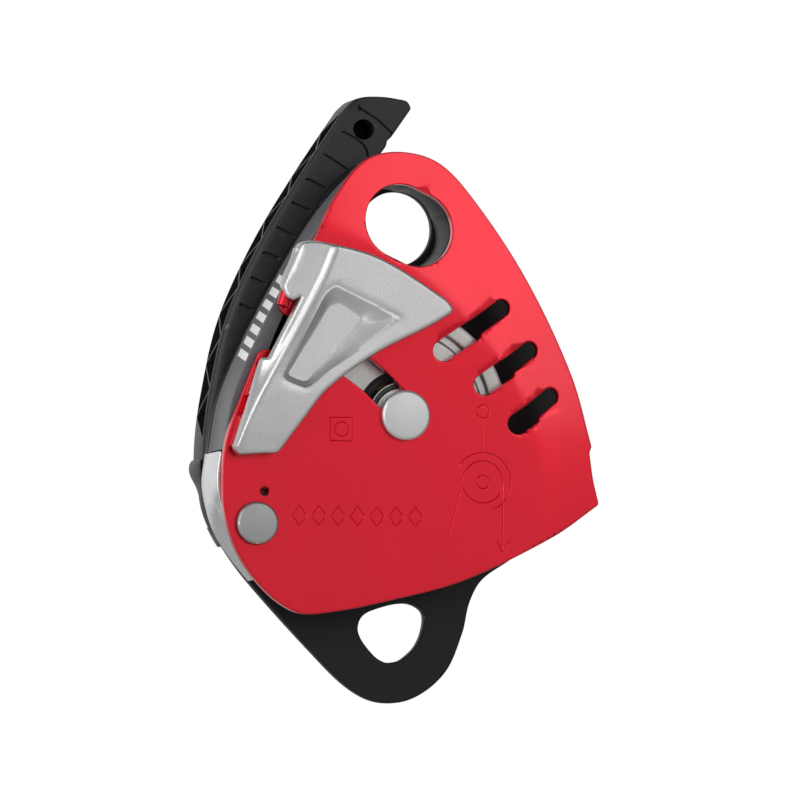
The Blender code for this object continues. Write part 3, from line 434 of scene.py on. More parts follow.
def relief(loops, front, back, rim=0.5, grid=2.5, creases=(), wall=()):
    """A sheet bounded by loops whose two faces follow functions of x and z, with rounded rims.

    Creases are open lines that the mesh follows. Wall lists (share of the thickness, inset) rows
    between the two faces.
    """
    starts = np.array([p for loop in loops for p in loop], float)
    ends = np.array([p for loop in loops for p in loop[1:] + loop[:1]], float)
    points, edges = [], []
    for loop in loops:
        base, count = len(points), len(loop)
        points += loop
        edges += [(base + i, base + (i + 1) % count) for i in range(count)]
    reaches = [rim * (1 - math.sin(math.radians(a))) for a in (60, 35, 15)] + [rim, rim + 0.45]
    extra = []
    for loop in loops:
        here = np.array(loop, float)
        ahead, behind = np.roll(here, -1, 0) - here, here - np.roll(here, 1, 0)
        ahead /= np.maximum(np.linalg.norm(ahead, axis=1, keepdims=True), 1e-9)
        behind /= np.maximum(np.linalg.norm(behind, axis=1, keepdims=True), 1e-9)
        along = ahead + behind
        size = np.maximum(np.linalg.norm(along, axis=1, keepdims=True), 0.6)
        inward = np.stack([-along[:, 1], along[:, 0]], 1) * 2 / size**2
        for reach in reaches:
            ring = here + inward * reach
            extra.append(ring[distance(ring, starts, ends) > reach * 0.97])
    low, high = starts.min(0), starts.max(0)
    columns = np.arange(low[0], high[0], grid)
    rows = np.arange(low[1], high[1], grid * 0.87)
    mesh_points = np.array([
        (x + (grid / 2 if j % 2 else 0.0), z) for j, z in enumerate(rows) for x in columns
    ])
    mesh_points = mesh_points[distance(mesh_points, starts, ends) > rim + 0.45 + 0.45 * grid]
    if creases:
        a = np.array([p for line in creases for p in line[:-1]], float)
        b = np.array([p for line in creases for p in line[1:]], float)
        mesh_points = mesh_points[distance(mesh_points, a, b) > 0.35 * grid]
    for line in creases:
        kept = distance(np.array(line, float), starts, ends) > 0.02
        base = len(points)
        points += [tuple(p) for p in line]
        edges += [(base + i, base + i + 1) for i in range(len(line) - 1) if kept[i] and kept[i + 1]]
    points += [tuple(p) for group in extra + [mesh_points] for p in group]
    co, faces = triangles(points, edges)
    middle = co[faces].mean(1)
    crossings = sum(inside(middle, loop).astype(int) for loop in loops)
    faces = faces[crossings % 2 == 1]
    used = np.unique(faces)
    renumber = -np.ones(len(co), int)
    renumber[used] = np.arange(len(used))
    co, faces = co[used], renumber[faces]
    gap = distance(co, starts, ends)
    fall = quarter(gap, rim)
    y_front = front(co[:, 0], co[:, 1]) + fall
    y_back = back(co[:, 0], co[:, 1]) - fall
    count = len(co)
    bm = bmesh.new()
    front_row = [bm.verts.new(place(x, y, z)) for (x, z), y in zip(co, y_front)]
    back_row = [bm.verts.new(place(x, y, z)) for (x, z), y in zip(co, y_back)]
    for a, b, c in faces:
        bm.faces.new((front_row[a], front_row[b], front_row[c]))
        bm.faces.new((back_row[c], back_row[b], back_row[a]))
    rims = rim_edges([tuple(f) for f in faces])
    normal = np.zeros((count, 2))
    for a, b in rims:
        step = co[b] - co[a]
        step = np.array([-step[1], step[0]]) / max(np.linalg.norm(step), 1e-9)
        normal[a] += step
        normal[b] += step
    normal /= np.maximum(np.linalg.norm(normal, axis=1, keepdims=True), 1e-9)
    levels = {}
    for a in {a for pair in rims for a in pair}:
        levels[a] = [front_row[a]]
        for share, inset in wall:
            x, z = co[a] + normal[a] * inset
            levels[a].append(bm.verts.new(place(x, y_front[a] + (y_back[a] - y_front[a]) * share, z)))
        levels[a].append(back_row[a])
    for a, b in rims:
        for k in range(len(wall) + 1):
            bm.faces.new((levels[b][k], levels[a][k], levels[a][k + 1], levels[b][k + 1]))
    return bm


def flat(y):
    return lambda x, z: np.full(len(x), float(y))


def prism(line, front, back):
    """A straight solid with this outline between two values of y."""
    bm = bmesh.new()
    rings = [[bm.verts.new(place(x, y, z)) for x, z in line] for y in (front, back)]
    bm.faces.new(rings[0])
    bm.faces.new(rings[1])
    for i in range(len(line)):
        j = (i + 1) % len(line)
        bm.faces.new((rings[0][i], rings[0][j], rings[1][j], rings[1][i]))
    return settle(bm)


def settle(bm):
    bmesh.ops.recalc_face_normals(bm, faces=bm.faces)
    if bm.calc_volume(signed=True) < 0:
        bmesh.ops.reverse_faces(bm, faces=bm.faces)
    return bm


def rounded(profile):
    """A profile's points with (radius, y, cut) corners rounded."""
    made = []
    for i, point in enumerate(profile):
        if len(point) == 2:
            made.append(point)
            continue
        corner = point[:2]
        back, ahead = profile[i - 1][:2], profile[(i + 1) % len(profile)][:2]
        entry = mix(corner, back, min(0.49, point[2] / max(math.dist(corner, back), 1e-6)))
        leave = mix(corner, ahead, min(0.49, point[2] / max(math.dist(corner, ahead), 1e-6)))
        for k in range(6):
            t = k / 5
            made.append(mix(mix(entry, corner, t), mix(corner, leave, t), t))
    return made


def lathe(profile, where=None, sides=96, turn=0.5):
    """A body turned about the y axis of a frame; profile may be a function of the angle."""
    where = where or Matrix.Identity(4)
    bm = bmesh.new()
    rings = []
    columns = []
    for i in range(sides):
        angle = 2 * math.pi * (i + turn) / sides
        column = profile(angle) if callable(profile) else rounded(profile)
        columns.append((angle, column))
    for k in range(len(columns[0][1])):
        if columns[0][1][k][0] == 0:
            rings.append([bm.verts.new(where @ Vector((0, columns[0][1][k][1] * MM, 0)))])
            continue
        ring = []
        for angle, column in columns:
            radius, y = column[k]
            spot = Vector((radius * math.cos(angle), y, radius * math.sin(angle)))
            ring.append(bm.verts.new(where @ (spot * MM)))
        rings.append(ring)
    pairs = list(zip(rings, rings[1:]))
    if len(rings[0]) > 1:
        pairs.append((rings[-1], rings[0]))
    for one, two in pairs:
        for i in range(sides):
            j = (i + 1) % sides
            corners = [one[i % len(one)], one[j % len(one)], two[j % len(two)], two[i % len(two)]]
            corners = list(dict.fromkeys(corners))
            if len(corners) > 2:
                bm.faces.new(corners)
    return settle(bm)


def at(centre, y=0.0):
    return Matrix.Translation(place(centre[0], y, centre[1]))


def boolean(made, tool_mesh, operation="DIFFERENCE", look=None):
    """Applies one Boolean and drops its tool; look is given to the faces the tool leaves."""
    mesh = bpy.data.meshes.new("tool")
    tool_mesh.to_mesh(mesh)
    tool_mesh.free()
    materials = made.data.materials
    if look and look.name not in materials:
        materials.append(look)
    for material in materials:
        mesh.materials.append(material)
    if look:
        index = materials.find(look.name)
        mesh.polygons.foreach_set("material_index", [index] * len(mesh.polygons))
    mesh.shade_smooth()
    tool = bpy.data.objects.new("tool", mesh)
    bpy.context.scene.collection.objects.link(tool)
    modifier = made.modifiers.new("shape", "BOOLEAN")
    modifier.operation = operation
    modifier.solver = "MANIFOLD"
    modifier.object = tool
    bpy.context.view_layer.update()
    graph = bpy.context.evaluated_depsgraph_get()
    shaped = bpy.data.meshes.new_from_object(made.evaluated_get(graph))
    made.modifiers.remove(modifier)
    made.data = shaped
    bpy.data.objects.remove(tool)
    shaped.shade_smooth()
    shaped.set_sharp_from_angle(angle=math.radians(35))
    return made


def put(made, body, slot, *nodes):
    """Rides a piece on its body and lets it stand for CAD nodes."""
    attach(made, body)
    if nodes:
        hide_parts(*nodes)
    return made


# ---------------------------------------------------------------- materials

class Nodes:
    """A short way to write a node tree."""

    def __init__(self, tree):
        self.tree = tree

    def add(self, kind, **settings):
        node = self.tree.nodes.new(kind)
        for key, value in settings.items():
            if key.startswith("in_"):
                name = key[3:]
                node.inputs[int(name) if name.isdigit() else name.replace("_", " ")].default_value = value
            else:
                setattr(node, key, value)
        return node

    def link(self, a, b):
        self.tree.links.new(a, b)

    def ramp(self, source, low, high, start=0.0, end=1.0):
        """Maps a value from the range low-high onto start-end."""
        node = self.add("ShaderNodeMapRange")
        for name, value in (("From Min", low), ("From Max", high), ("To Min", start), ("To Max", end)):
            node.inputs[name].default_value = value
        self.link(source, node.inputs["Value"])
        return node.outputs["Result"]

    def noise(self, vector, scale, detail=3.0, roughness=0.55):
        node = self.add("ShaderNodeTexNoise")
        node.inputs["Scale"].default_value = scale
        node.inputs["Detail"].default_value = detail
        node.inputs["Roughness"].default_value = roughness
        self.link(vector, node.inputs["Vector"])
        return node.outputs["Fac"]

    def blend(self, share, one, two):
        """Mixes two colours or links by a share."""
        node = self.add("ShaderNodeMix", data_type="RGBA")
        for socket, value in ((node.inputs[0], share), (node.inputs[6], one), (node.inputs[7], two)):
            if isinstance(value, (int, float, tuple)):
                socket.default_value = value
            else:
                self.link(value, socket)
        return node.outputs[2]

    def math(self, operation, one, two=0.0):
        node = self.add("ShaderNodeMath", operation=operation)
        for socket, value in zip(node.inputs, (one, two)):
            if isinstance(value, (int, float)):
                socket.default_value = value
            else:
                self.link(value, socket)
        return node.outputs[0]


def scaled(colour, factor):
    return tuple(min(1.0, c * factor) for c in colour[:3]) + (1.0,)


def surface(
    name, colour, roughness, metallic, grain=3000.0, bump=0.05, mottle=0.06, edge_wear_and_glint=0.0, edge_wear_and_glint_colour=None,
    coat=0.0, coat_roughness=0.1, turned_about=None, brushed=None, scratches=0.0, specular=0.5,
):
    """A finished surface: mottled colour, fine grain in bump and gloss, and lighter edges that are partly wear
    and partly a painted highlight.

    turned_about gives the axis of lathe marks, brushed the direction that brush marks run across.
    """
    made = bpy.data.materials.new(name)
    made.use_nodes = True
    tree = Nodes(made.node_tree)
    shader = made.node_tree.nodes["Principled BSDF"]
    spots = tree.add("ShaderNodeTexCoord").outputs["Object"]
    broad = tree.noise(spots, 55.0, 4.0)
    fine = tree.noise(spots, grain, 2.0)
    tint = tree.blend(
        tree.ramp(broad, 0.3, 0.7), scaled(colour, 1.0 - mottle), scaled(colour, 1.0 + mottle)
    )
    speck = tree.ramp(fine, 0.35, 0.65, 1.0 - mottle * 0.6, 1.0 + mottle * 0.6)
    colours = tree.add("ShaderNodeVectorMath", operation="SCALE")
    tree.link(tint, colours.inputs[0])
    tree.link(speck, colours.inputs["Scale"])
    tint = colours.outputs[0]
    height = fine
    gloss = tree.ramp(fine, 0.3, 0.7, -0.04, 0.04)
    gloss = tree.math("ADD", gloss, tree.ramp(broad, 0.3, 0.7, -0.03, 0.03))
    if turned_about:
        axis = place(turned_about[0], 0, turned_about[1])
        move = tree.add("ShaderNodeVectorMath", operation="SUBTRACT")
        tree.link(spots, move.inputs[0])
        move.inputs[1].default_value = axis
        squash = tree.add("ShaderNodeVectorMath", operation="MULTIPLY")
        squash.inputs[1].default_value = (1.0, 0.0, 1.0)
        tree.link(move.outputs[0], squash.inputs[0])
        size = tree.add("ShaderNodeVectorMath", operation="LENGTH")
        tree.link(squash.outputs[0], size.inputs[0])
        rings = tree.add("ShaderNodeTexNoise", noise_dimensions="1D")
        rings.inputs["Scale"].default_value = 3500.0
        rings.inputs["Detail"].default_value = 4.0
        tree.link(size.outputs["Value"], rings.inputs["W"])
        height = tree.math("ADD", tree.math("MULTIPLY", rings.outputs["Fac"], 2.0), fine)
        gloss = tree.math("ADD", gloss, tree.ramp(rings.outputs["Fac"], 0.3, 0.7, -0.06, 0.06))
    if brushed:
        stretch = tree.add("ShaderNodeVectorMath", operation="MULTIPLY")
        stretch.inputs[1].default_value = brushed
        tree.link(spots, stretch.inputs[0])
        marks = tree.noise(stretch.outputs[0], 1.0, 3.0)
        height = tree.math("ADD", tree.math("MULTIPLY", marks, 1.5), fine)
        gloss = tree.math("ADD", gloss, tree.ramp(marks, 0.3, 0.7, -0.07, 0.07))
    if scratches:
        fold = tree.add("ShaderNodeVectorMath", operation="MULTIPLY")
        fold.inputs[1].default_value = (260.0, 260.0, 2600.0)
        turn = tree.add("ShaderNodeVectorRotate")
        turn.inputs["Angle"].default_value = 0.6
        turn.inputs["Axis"].default_value = (0.0, 1.0, 0.0)
        tree.link(spots, turn.inputs["Vector"])
        tree.link(turn.outputs[0], fold.inputs[0])
        lines = tree.noise(fold.outputs[0], 1.0, 2.0)
        gloss = tree.math("ADD", gloss, tree.ramp(lines, 0.62, 0.75, 0.0, scratches))
    # Edges lightened by pointiness: partly wear, partly a painted highlight where rounded rims catch the light.
    if edge_wear_and_glint:
        point = tree.add("ShaderNodeNewGeometry").outputs["Pointiness"]
        worn_and_glinting = tree.math("ADD", point, tree.ramp(broad, 0.3, 0.7, -0.02, 0.02))
        worn_and_glinting = tree.ramp(worn_and_glinting, 0.55, 0.63, 0.0, edge_wear_and_glint)
        tint = tree.blend(worn_and_glinting, tint, edge_wear_and_glint_colour or scaled(colour, 1.5))
        gloss = tree.math("SUBTRACT", gloss, tree.math("MULTIPLY", worn_and_glinting, 0.08))
    tree.link(tint, shader.inputs["Base Color"])
    tree.link(tree.math("MAXIMUM", tree.math("ADD", gloss, roughness), 0.04), shader.inputs["Roughness"])
    shader.inputs["Metallic"].default_value = metallic
    shader.inputs["Specular IOR Level"].default_value = specular
    shader.inputs["Coat Weight"].default_value = coat
    shader.inputs["Coat Roughness"].default_value = coat_roughness
    relief_node = tree.add("ShaderNodeBump")
    relief_node.inputs["Strength"].default_value = bump
    relief_node.inputs["Distance"].default_value = 0.0002
    tree.link(height, relief_node.inputs["Height"])
    tree.link(relief_node.outputs[0], shader.inputs["Normal"])
    return made


RED = surface(
    "red_anodised", (0.64, 0.003, 0.019, 1.0), 0.34, 0.92, grain=5000.0, bump=0.03, mottle=0.03,
    coat=0.48, coat_roughness=0.12,
)
BLACK = surface(
    "black_plate", srgb(20, 21, 23), 0.45, 0.0, grain=4200.0, bump=0.10, mottle=0.12,
    edge_wear_and_glint=0.5, edge_wear_and_glint_colour=srgb(88, 90, 92), specular=0.22,
)
# The near-white edge colour paints bright highlights along the gate's edges as well as wear.
CAST = surface(
    "cast_aluminium", srgb(196, 196, 196), 0.36, 0.95, grain=2400.0, bump=0.42, mottle=0.06,
    edge_wear_and_glint=0.6, edge_wear_and_glint_colour=srgb(242, 243, 242),
)
# The near-white edge colour paints the bright highlight on the head's chamfered rim.
HEAD = surface(
    "turned_head", srgb(206, 206, 206), 0.46, 0.9, grain=3600.0, bump=0.10, mottle=0.04,
    edge_wear_and_glint=0.9, edge_wear_and_glint_colour=srgb(246, 246, 246), turned_about=AXLE,
)
# The near-white edge colour paints the bright highlight on the pivot head's chamfered rim.
PIVOT_HEAD = surface(
    "turned_pivot_head", srgb(160, 160, 161), 0.46, 0.9, grain=3600.0, bump=0.10, mottle=0.04,
    edge_wear_and_glint=0.9, edge_wear_and_glint_colour=srgb(242, 242, 242), turned_about=PIVOT,
)
SHEAVE = surface(
    "turned_sheave", srgb(180, 178, 176), 0.36, 0.95, grain=1500.0, bump=0.20, mottle=0.14,
    turned_about=AXLE,
)
# Dark grey standing in for the shade on the collar under the axle head's overhang: painted shade.
COLLAR_PAINTED_SHADE = surface(
    "collar_painted_dark_shade", srgb(62, 62, 64), 0.40, 0.8, grain=3000.0, bump=0.12, mottle=0.10, turned_about=AXLE,
)
POLISHED = surface(
    "polished_steel", srgb(208, 208, 210), 0.28, 1.0, grain=1800.0, bump=0.05, mottle=0.03,
    brushed=(900.0, 60.0, 120.0), scratches=0.12,
)
STEEL = surface(
    "steel", srgb(168, 168, 171), 0.28, 1.0, grain=2800.0, bump=0.08, mottle=0.06, edge_wear_and_glint=0.4,
)
DARK = surface(
    "dark_steel", srgb(74, 76, 80), 0.36, 0.9, grain=3000.0, bump=0.12, mottle=0.10, edge_wear_and_glint=0.5,
)
BROWN = surface(
    "browned_pin", srgb(112, 36, 24), 0.45, 0.5, grain=3000.0, bump=0.10, mottle=0.12,
)
GREY = surface(
    "grey_housing", srgb(99, 100, 103), 0.5, 0.25, grain=2200.0, bump=0.16, mottle=0.06,
    edge_wear_and_glint=0.5, edge_wear_and_glint_colour=srgb(150, 151, 153),
)
# The lighter edge colour paints the highlight on the lit rib edges as well as wear.
NYLON = surface(
    "handle_nylon", srgb(25, 25, 28), 0.46, 0.0, grain=1500.0, bump=0.30, mottle=0.10,
    edge_wear_and_glint=0.6, edge_wear_and_glint_colour=srgb(104, 104, 107), specular=0.42,
)
# Near-black nylon for the faces inside the rib pockets and lanyard hole: painted shade in the recesses.
NYLON_PAINTED_SHADE = surface(
    "handle_nylon_painted_pocket_shade", srgb(16, 16, 17), 0.70, 0.0, grain=1500.0, bump=0.20, mottle=0.10,
    specular=0.25,
)
RUBBER = surface(
    "seal_rubber", srgb(24, 24, 25), 0.62, 0.0, grain=2400.0, bump=0.25, mottle=0.15,
)
BRONZE = surface(
    "bush_bronze", srgb(178, 140, 84), 0.32, 1.0, grain=2600.0, bump=0.10, mottle=0.08, edge_wear_and_glint=0.4,
)
WHITE = surface(
    "white_print", srgb(240, 241, 240), 0.5, 0.0, grain=2600.0, bump=0.05, mottle=0.02,
)


# ---------------------------------------------------------------- the plates

def lean(x, z):
    """How far back the swinging plate leans at each point."""
    reach = np.hypot(x - PIVOT[0], z - PIVOT[1]) - LEAN_RADIUS
    soft = (reach + np.sqrt(reach**2 + LEAN_ROUNDING**2)) / 2
    return LEAN_SLOPE * np.where(reach < -12, 0.0, np.maximum(soft - 0.1, 0.0))


def both_sides(line, width):
    """The line itself and a line on each side of it."""
    here = np.array(line, float)
    along = np.gradient(here, axis=0)
    along /= np.maximum(np.linalg.norm(along, axis=1, keepdims=True), 1e-9)
    across = np.stack([-along[:, 1], along[:, 0]], 1) * width
    return [line, [tuple(p) for p in here + across], [tuple(p) for p in here - across]]


def ring_line(centre, radius, sides=40, start=0.0, sweep=2 * math.pi):
    return [polar(centre, radius, start + sweep * i / sides) for i in range(sides + 1)]


def straight(a, b, step=1.2):
    count = max(1, math.ceil(math.dist(a, b) / step))
    return [mix(a, b, i / count) for i in range(count + 1)]


def engraving():
    """Plain line ornament: a row of lozenges, a ringed square and a drawing of a rope on a wheel."""
    lines = []
    for i in range(7):
        x, z, half = -43.4 + 7.2 * i, -106.0, 2.7
        corners = [(x - half, z), (x, z + 3.6), (x + half, z), (x, z - 3.6), (x - half, z)]
        for a, b in zip(corners, corners[1:]):
            lines.append(straight(a, b))
    square = [(-32.0, -70.6), (-23.6, -70.6), (-23.6, -79.0), (-32.0, -79.0), (-32.0, -70.6)]
    for a, b in zip(square, square[1:]):
        lines.append(straight(a, b))
    lines.append(ring_line((-27.8, -74.8), 2.6, 24))
    wheel = (25.0, -93.0)
    lines.append(ring_line(wheel, 7.6))
    lines.append(ring_line(wheel, 2.4, 20))
    lines.append(ring_line(wheel, 10.6, 30, math.radians(-60), math.radians(200)))
    lines.append(straight((32.6, -93.0), (32.6, -116.0)))
    lines.append(straight((17.4, -93.0), (12.6, -112.0)))
    lines.append(straight((25.0, -82.4), (25.0, -70.0)))
    lines.append(ring_line((25.0, -67.6), 2.4, 20))
    for side in (-2.2, 2.2):
        lines.append(straight((32.6, -118.6), (32.6 + side, -114.4)))
    return lines


def red_plate():
    radii = (SLOT_RADIUS - SLOT_HALF, SLOT_RADIUS + SLOT_HALF)
    openings = [
        capsule((-5.0, 0.6), (0.9, -2.1), EYE_RADIUS, 110), sector(*radii, SLOT_START, SLOT_END),
        circle(AXLE, SLOT_HALF, 48), outline(MOUTH_OUTLINE), circle(PIVOT, 7.3, 48),
        circle(DETENT, 1.6, 24),
    ]
    for high, low, heel in VENTS:
        openings.append(capsule(low, high, 3.1, 36))
        openings.append(capsule(low, heel, 3.8, 36))
    loops = region([outline(SIDE_OUTLINE)], openings)
    marks = engraving()
    groove, depth = 0.2, 0.20
    creases = []
    for mark in marks:
        creases += both_sides(mark, groove) + both_sides(mark, groove + 0.14)[1:]

    for offset in (-6.0, -4.0, -2.6, -1.6, -0.8, 0.0, 0.8, 1.6, 2.6, 4.0, 6.0):
        creases.append(ring_line(PIVOT, LEAN_RADIUS + offset, 150, math.radians(-25), math.radians(125)))
    starts = np.array([p for mark in marks for p in mark[:-1]], float)
    ends = np.array([p for mark in marks for p in mark[1:]], float)

    def front(x, z):
        spots = np.stack([x, z], 1)
        cut = depth * np.clip(1.05 - distance(spots, starts, ends) / groove, 0, 1)
        return SIDE_FRONT + lean(x, z) + cut

    def back(x, z):
        return SIDE_BACK + lean(x, z)

    plate = finish_mesh("red_side_plate", relief(loops, front, back, 0.45, 2.0, creases), RED)
    even_shading(plate)
    put(plate, "side_plate", "red_anodised", "side_plate")


def black_plate():
    openings = [
        circle(EYE, EYE_RADIUS), outline(BECKET_OUTLINE), circle(AXLE, 6.3, 48), circle(PIVOT, 5.3, 48),
    ]
    openings += [circle(spot, 3.5, 36) for spot in FRAME_SCREWS]
    loops = region([outline(REAR_OUTLINE)], openings)
    bm = relief(loops, flat(REAR_FRONT), flat(REAR_BACK), 0.7, 3.0)
    plate = finish_mesh("black_rear_plate", bm, BLACK)
    put(plate, "frame", "black_plate", "rear_side_plate")


def housing():
    outer = open_curve([
        (-70.6, -82.6), (-67.0, -63.4), (-58.4, -42.7), (-47.4, -21.8), (-33.6, 0.9),
        (-20.6, 16.8), (-9.6, 24.8),
    ])
    inner = open_curve([
        (-61.6, -82.6), (-58.6, -63.0), (-51.2, -40.6), (-41.6, -22.0), (-27.4, -1.0),
        (-17.6, 14.0), (-8.4, 20.8),
    ])
    loops = region([outer + inner[::-1]], [])
    wall = [(0.03, 0.0), (0.07, 0.45), (0.90, 0.45), (0.94, 0.0)]

    def front(x, z):
        return np.maximum(-INNER, SIDE_BACK + lean(x, z) + 0.6)

    body = finish_mesh("grey_housing_wall", relief(loops, front, flat(INNER), 0.4, 2.4, wall=wall), GREY)
    for x, z in FRAME_SCREWS[:4]:
        boolean(body, lathe([(0, 2.7), (1.8, 2.7), (1.8, 14.0), (0, 14.0)], at((x, z)), 32))
    put(body, "frame", "grey_housing", "spine_housing")
    stripes(outer)


def stripes(line):
    """White slanted bars printed on the housing's outer wall."""
    lengths = np.concatenate([[0], np.cumsum([math.dist(a, b) for a, b in zip(line, line[1:])])])
    xs, zs = np.array(line)[:, 0], np.array(line)[:, 1]

    def spot(along, y, lift):
        x, z = np.interp(along, lengths, xs), np.interp(along, lengths, zs)
        ahead = (np.interp(along + 0.5, lengths, xs) - x, np.interp(along + 0.5, lengths, zs) - z)
        size = math.hypot(*ahead)
        return place(x + lift * -ahead[1] / size, y, z + lift * ahead[0] / size)

    bm = bmesh.new()
    first, bars, pitch, width, slant = 33.2, 7, 5.1, 3.0, 3.8
    low, high, steps = -8.8, 8.8, 8
    for bar in range(bars):
        start = first + bar * pitch
        rows = []
        for lift in (-0.40, -0.52):
            for edge in (0.0, width):
                rows.append([
                    bm.verts.new(spot(start + edge + slant * k / steps, low + (high - low) * k / steps, lift))
                    for k in range(steps + 1)
                ])
        for k in range(steps):
            bm.faces.new((rows[0][k], rows[1][k], rows[1][k + 1], rows[0][k + 1]))
            bm.faces.new((rows[2][k], rows[2][k + 1], rows[3][k + 1], rows[3][k]))
            bm.faces.new((rows[0][k], rows[0][k + 1], rows[2][k + 1], rows[2][k]))
            bm.faces.new((rows[1][k + 1], rows[1][k], rows[3][k], rows[3][k + 1]))
        for k in (0, steps):
            bm.faces.new((rows[0][k], rows[2][k], rows[3][k], rows[1][k]))
    put(finish_mesh("housing_stripes", bm, WHITE), "frame", "grey_housing")


def channel():
    outer = open_curve([
        (-71.9, -83.2), (-73.1, -94.0), (-71.3, -104.0), (-68.1, -112.4), (-63.2, -119.8),
        (-55.9, -128.6),
    ])
    inner = open_curve([
        (-61.8, -83.2), (-61.6, -92.0), (-64.9, -104.4), (-60.0, -117.6), (-50.6, -124.6),
    ])
    loops = region([outer + inner[::-1]], [])
    body = finish_mesh("polished_channel", relief(loops, flat(-INNER), flat(INNER), 0.6, 2.0), POLISHED)
    boss = [
        (-66.0, -90.0), (-52.4, -92.6), (-48.8, -108.8), (-49.4, -119.0), (-56.0, -124.6),
        (-64.6, -114.0),
    ]
    boolean(body, prism(outline(boss), -INNER + 0.25, -5.4), "UNION")
    boolean(body, lathe([(0, -14), (5.3, -14), (5.3, 0), (0, 0)], at(PIVOT), 48))
    boolean(body, lathe([(0, -14), (1.5, -14), (1.5, -6.6), (0, -6.6)], at(DETENT), 24))
    boolean(body, lathe([(0, -5.5), (8.2, -5.5), (8.2, 14), (0, 14)], at(PIVOT), 64))
    scoop_inner, scoop_rounding, scoop_y = 56.5, 20.0, -5.0
    middle = (scoop_inner + scoop_rounding, scoop_y)
    scoop = [polar(middle, scoop_rounding, 2 * math.pi * i / 120) for i in range(120)]
    boolean(body, lathe(scoop, at((-18.4, -83.8)), 360))
    boolean(body, lathe([(0, 2.7), (1.8, 2.7), (1.8, 14.0), (0, 14.0)], at(FRAME_SCREWS[4]), 26))
    put(body, "frame", "polished_steel", "brake_channel_insert")


# ---------------------------------------------------------------- the gate

def hinge_frame():
    """Frame on the gate's hinge: y up along it, z towards the front, x across to the right."""
    along = HINGE_UP.normalized()
    front = Vector((0, -1, 0))
    turn = Matrix((along.cross(front), along, front)).transposed().to_4x4()
    return Matrix.Translation(HINGE) @ turn


def hinge_point(z):
    """Distance along the hinge from its lower end to the level z, in millimetres."""
    return (z - HINGE_LOW_Z) / HINGE_UP.normalized().z


def hinge_box(right_low, right_high, z_low, z_high, depth_low, depth_high):
    """A block given across, along and in front of the hinge axis."""
    bm = bmesh.new()
    bmesh.ops.create_cube(bm, size=1.0)
    low, high = hinge_point(z_low), hinge_point(z_high)
    size = Vector((right_high - right_low, high - low, depth_high - depth_low)) * MM
    middle = Vector((right_high + right_low, high + low, depth_high + depth_low)) * MM / 2
    move = hinge_frame() @ Matrix.Translation(middle) @ Matrix.Diagonal((*size, 1.0))
    bmesh.ops.transform(bm, matrix=move, verts=bm.verts)
    return settle(bm)


def hinge_rod(radius, z_low, z_high, cut=(), sides=48):
    """A rod on the hinge axis; cut rounds its rims."""
    low, high = hinge_point(z_low), hinge_point(z_high)
    return lathe([(0, low), (radius, low, *cut), (radius, high, *cut), (0, high)], hinge_frame(), sides)


HINGE_BARREL = 2.3
HINGE_PIN = 0.9
HINGE_BORE = 1.2
BRACKET_FOOT = 3.0
# Levels of each bracket, of the gate's barrel beside it, and of its pin.
HINGES = {
    "lower": ((-70.4, -64.4), (-82.0, -53.2), (-80.0, -56.0)),
    "upper": ((-31.2, -25.8), (-25.2, -11.0), (-30.6, -13.0)),
}


